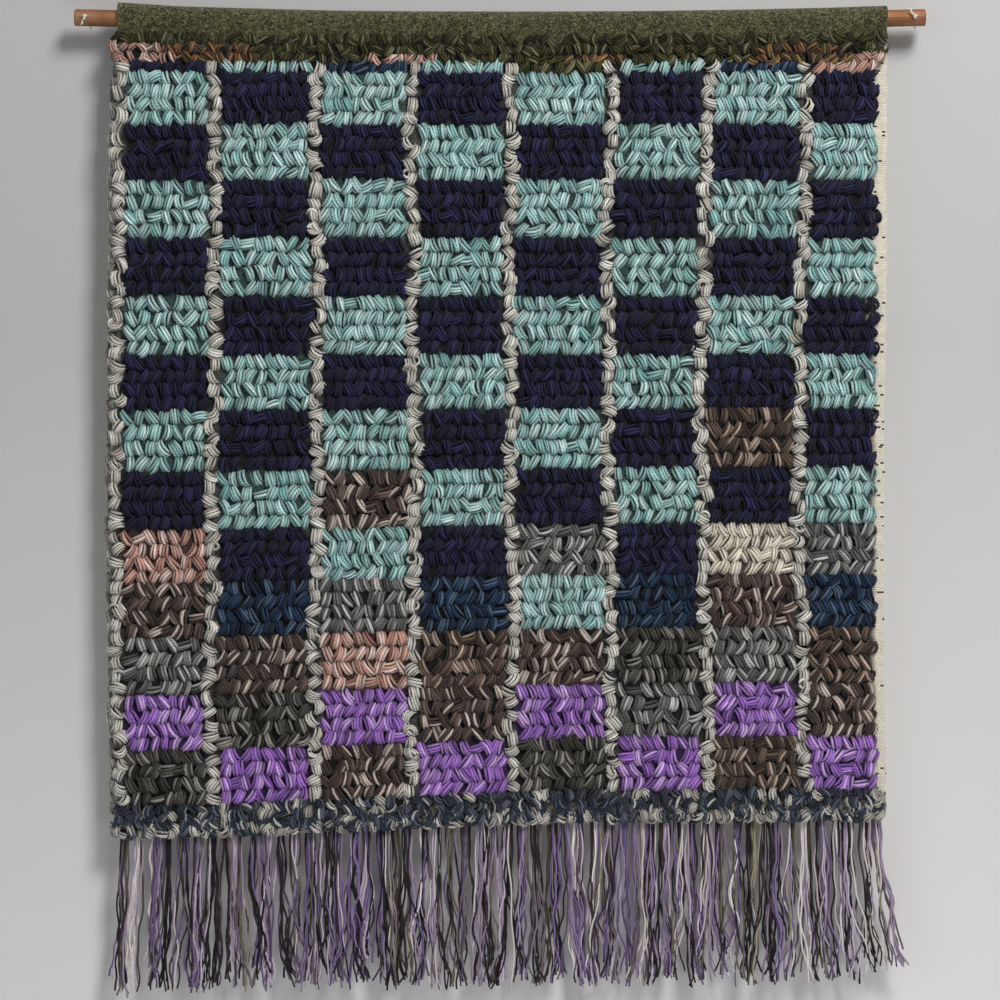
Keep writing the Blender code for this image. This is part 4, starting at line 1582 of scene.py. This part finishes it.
@dataclass
class Fringe:
    """Bunches of loose yarn ends along the lower edge, each of a few locks of like strands."""

    plan: ClothPlan
    bunches: int = 54
    rings: int = 26
    sides: int = 4
    inset: float = 0.002
    top: float = -0.7560
    falls: tuple[tuple[float, float, float], ...] = (
        (-0.357, -0.0070, -0.9120),
        (-0.310, -0.0030, -0.9100),
        (-0.200, 0.0010, -0.9060),
        (0.000, -0.0010, -0.9060),
        (0.200, 0.0020, -0.9040),
        (0.310, 0.0060, -0.9000),
        (0.362, 0.0170, -0.8940),
    )
    yarns: tuple[tuple[Yarn, float], ...] = (
        (Yarn.LILAC, 0.22),
        (Yarn.VIOLET, 0.11),
        (Yarn.ECRU, 0.10),
        (Yarn.INK, 0.36),
        (Yarn.SLATE, 0.21),
    )
    lock_seat: float = 0.0040
    lock_spread: float = 0.0026
    drift_share: float = 0.86
    even_share: float = 0.75
    common_share: float = 0.55
    depth: float = -0.0012
    flatness: float = 0.7
    chance: np.random.Generator = field(default_factory=lambda: np.random.default_rng(11))

    def fall(self, x: float) -> tuple[float, float]:
        """Lean and tip height of the fringe at a place."""
        places, leans, tips = zip(*self.falls)
        return float(np.interp(x, places, leans)), float(np.interp(x, places, tips))

    def pick(self) -> Yarn:
        """A yarn by chance, each at its own share."""
        kinds, shares = zip(*self.yarns)
        return kinds[int(self.chance.choice(len(kinds), p=shares))]

    def wave(self, t: Array, low: float, high: float, slow: float, fast: float) -> Array:
        """A sideways wave down a strand.

        Args:
            t: Shares of the strand's length.
            low: Least swing.
            high: Largest swing.
            slow: Fewest waves.
            fast: Most waves.

        Returns:
            The swing at each share.
        """
        draw = self.chance.uniform
        return draw(low, high) * np.sin(2 * math.pi * (t * draw(slow, fast) + draw())) * t**0.6

    def lock(self, x: float, seat: float, count: int) -> Array:
        """Centre lines of the strands of one lock.

        Args:
            x: Middle of its bunch.
            seat: Its seat across the bunch, from -1 to 1.
            count: Number of strands.

        Returns:
            Points, as strands x rings x 3.
        """
        draw = self.chance.uniform
        t = np.linspace(0.0, 1.0, self.rings)
        lean, tip = self.fall(x)
        tip += draw(-0.003, 0.010)
        middle = x + seat * (self.lock_seat + self.lock_spread * np.clip(t * 1.5, 0, 1)) + lean * t**1.5
        drift = draw(-0.008, 0.008) if draw() < self.drift_share else draw(-0.022, 0.022)
        middle += drift * t**1.7 + self.wave(t, 0.0012, 0.0042, 0.9, 2.6)
        depth = draw(-0.0022, 0.0022) * np.clip(t * 2.5, 0, 1) + self.wave(t, 0.0003, 0.0014, 1.0, 2.5)
        turn, start = draw(-9.0, 9.0), draw(0.0, 2 * math.pi)
        top = self.top + self.plan.climb(x, self.top)
        lines = []
        for number in range(count):
            angle = start + turn * t + 2 * math.pi * number / count
            apart = draw(0.0008, 0.0013) * (0.8 + draw(0.2, 2.6) * t**2.2)
            end = tip + (draw(-0.002, 0.006) if draw() < self.even_share else draw(0.006, 0.030))
            z = top + (end - top) * t
            own_x = middle + apart * np.cos(angle) + self.wave(t, 0.0006, 0.0017, 2.6, 5.6)
            own_x += self.wave(t, 0.0, 0.0026, 0.7, 2.2) + draw(-0.004, 0.004) * t**7
            own_y = self.depth + depth + apart * self.flatness * np.sin(angle) + self.plan.swing(own_x, z)
            lines.append(np.stack([own_x, own_y, z], axis=1))
        return np.array(lines)

    def build(self, wardrobe: Wardrobe) -> list[bpy.types.Object]:
        """Makes the fringe, one piece for each yarn.

        Args:
            wardrobe: The finishes.

        Returns:
            The pieces.
        """
        bottom = self.plan.ground_bottom
        left = float(self.plan.left(bottom)) + self.inset
        right = float(self.plan.right(bottom)) - self.inset
        batches = {yarn: StrandBatch(self.sides) for yarn, _ in self.yarns}
        for i in range(self.bunches):
            x = left + (right - left) * (i + 0.5 + float(self.chance.uniform(-0.15, 0.15))) / self.bunches
            locks = int(self.chance.choice([4, 4, 5]))
            for j in range(locks):
                common = self.pick()
                count = int(self.chance.choice([2, 2, 3, 4]))
                for path in self.lock(x, 2 * (j + 0.5) / locks - 1, count):
                    yarn = common if self.chance.uniform() < self.common_share else self.pick()
                    radius = np.full((1, self.rings), self.chance.uniform(0.00074, 0.00100))
                    tone = np.ones((1, self.rings, 3))
                    tone[:, :, 0] = self.chance.uniform()
                    tone[:, :, 1] = self.chance.uniform()
                    batches[yarn].add(path[None], np.array([[0.0, 1.0, 0.0]]), radius, tone)
        pieces = []
        for yarn, batch in batches.items():
            name = "fringe_" + yarn.value
            pieces.append(wardrobe.piece(name, batch.mesh(name), wardrobe.yarns[yarn], "fringe"))
        return pieces


@dataclass(frozen=True)
class Lamp:
    """A square area light that faces the cloth: its place, width, power in watts and colour."""

    name: str
    spot: Point
    width: float
    power: float
    colour: Colour = (1.0, 1.0, 1.0)

    def add(self, target: Vector) -> None:
        """Adds the light, turned towards a point."""
        data = bpy.data.lights.new(self.name, "AREA")
        data.size = self.width
        data.energy = self.power
        data.color = self.colour
        made = add_object(self.name, data)
        made.location = self.spot
        made.rotation_euler = (target - made.location).to_track_quat("-Z", "Y").to_euler()


@dataclass
class Studio:
    """Wall and floor, camera and soft lights."""

    lamps: tuple[Lamp, ...] = (
        Lamp("key", (1.15, -2.1, 1.75), 0.9, 92.0, (1.0, 0.98, 0.95)),
        Lamp("fill", (-2.4, -2.6, -0.1), 2.0, 14.0, (0.94, 0.97, 1.0)),
        Lamp("low", (0.9, -2.0, -1.75), 1.1, 7.0, (1.0, 0.97, 1.0)),
        Lamp("rear", (-1.1, 2.6, 0.8), 1.6, 40.0),
    )
    sky: Colour = (0.90, 0.93, 0.96)
    sky_light: float = 0.20
    sky_seen: float = 0.62
    wall_depth: float = 0.024
    wall_top: float = 2.2
    floor_height: float = -1.9
    cove: float = 0.35
    width: float = 3.2
    reach: float = 4.5
    camera_back: float = 3.0
    camera_height: float = -0.4511
    view_width: float = 0.935
    sensor: float = 36.0
    wall: Colour = (0.53, 0.53, 0.53)
    wall_painted_light: float = 1.30
    wall_painted_shade: float = 0.88
    wall_painted_slope: float = 0.10
    cove_steps: int = 8

    def backdrop(self) -> None:
        """Adds the wall and floor as one curved sheet that doesn't show from behind."""
        profile = [(self.wall_depth, self.wall_top), (self.wall_depth, self.floor_height + self.cove)]
        for i in range(1, self.cove_steps + 1):
            angle = math.pi / 2 * i / self.cove_steps
            depth = self.wall_depth - self.cove * (1 - math.cos(angle))
            profile.append((depth, self.floor_height + self.cove * (1 - math.sin(angle))))
        profile.append((-self.reach, self.floor_height))
        bm = bmesh.new()
        lines = [[bm.verts.new((side * self.width, y, z)) for y, z in profile] for side in (-1, 1)]
        for i in range(len(profile) - 1):
            bm.faces.new((lines[0][i], lines[0][i + 1], lines[1][i + 1], lines[1][i]))
        mesh = bpy.data.meshes.new("backdrop")
        bm.to_mesh(mesh)
        bm.free()
        mesh.shade_smooth()
        made = add_object("backdrop", mesh)
        mesh.materials.append(self.wall_finish())
        made.visible_shadow = False

    def wall_finish(self) -> bpy.types.Material:
        """Matte pale paint with painted light, lighter further down and to the right, clear from behind."""
        made, graph, shader = start_material("backdrop_paint")
        x, _, z = graph.parts(graph.node("ShaderNodeTexCoord").outputs["Object"])
        # Painted light on the wall: lighter further down and to the right, darker at the top.
        down = graph.span(z, -0.95, -0.30, self.wall_painted_light, self.wall_painted_shade)
        lift = graph.math("MULTIPLY_ADD", x, self.wall_painted_slope, down)
        paint = graph.joined(*[graph.math("MULTIPLY", lift, part) for part in self.wall])
        graph.fill(shader.inputs, Base_Color=paint, Roughness=0.95, Specular_IOR_Level=0.1)
        clear = graph.node("ShaderNodeBsdfTransparent")
        mixed = graph.node("ShaderNodeMixShader")
        graph.feed(mixed.inputs[0], graph.node("ShaderNodeNewGeometry").outputs["Backfacing"])
        graph.feed(mixed.inputs[1], shader.outputs[0])
        graph.feed(mixed.inputs[2], clear.outputs[0])
        graph.feed(made.node_tree.nodes["Material Output"].inputs["Surface"], mixed.outputs[0])
        return made

    def camera(self) -> None:
        """Sets the camera square to the cloth, at the photograph's distance and height."""
        data = bpy.data.cameras.new("camera")
        data.sensor_width = self.sensor
        data.lens = self.sensor * self.camera_back / self.view_width
        made = add_object("camera", data)
        made.location = (0.0, -self.camera_back, self.camera_height)
        made.rotation_euler = (math.radians(90), 0, 0)
        bpy.context.scene.camera = made

    def build(self) -> None:
        """Adds the stage, the camera, the lights and the sky."""
        self.backdrop()
        self.camera()
        for lamp in self.lamps:
            lamp.add(Vector((0.0, 0.0, self.camera_height)))
        world = bpy.data.worlds.new("sky")
        bpy.context.scene.world = world
        world.use_nodes = True
        graph = Graph(world.node_tree)
        sky = world.node_tree.nodes["Background"]
        sky.inputs[0].default_value = rgba(self.sky)
        seen = graph.node("ShaderNodeLightPath").outputs["Is Camera Ray"]
        graph.feed(sky.inputs[1], graph.span(seen, 0.0, 1.0, self.sky_light, self.sky_seen))
        bpy.context.scene.view_settings.view_transform = "Standard"
        LOG.info("studio: stage, camera and lights")


def main() -> None:
    logging.basicConfig(level=logging.INFO, format="%(message)s")
    plan = ClothPlan()
    Studio().build()
    wardrobe = Wardrobe()
    rod = HangingRod(plan)
    rod.dress_rod(wardrobe)
    rod.tie_line(wardrobe)
    ground = GroundCloth(plan)
    pile = LoopPile(plan)
    cloth = ground.build(wardrobe, pile)
    pieces = pile.build(wardrobe) + Fringe(plan).build(wardrobe)


if __name__ == "__main__":
    main()
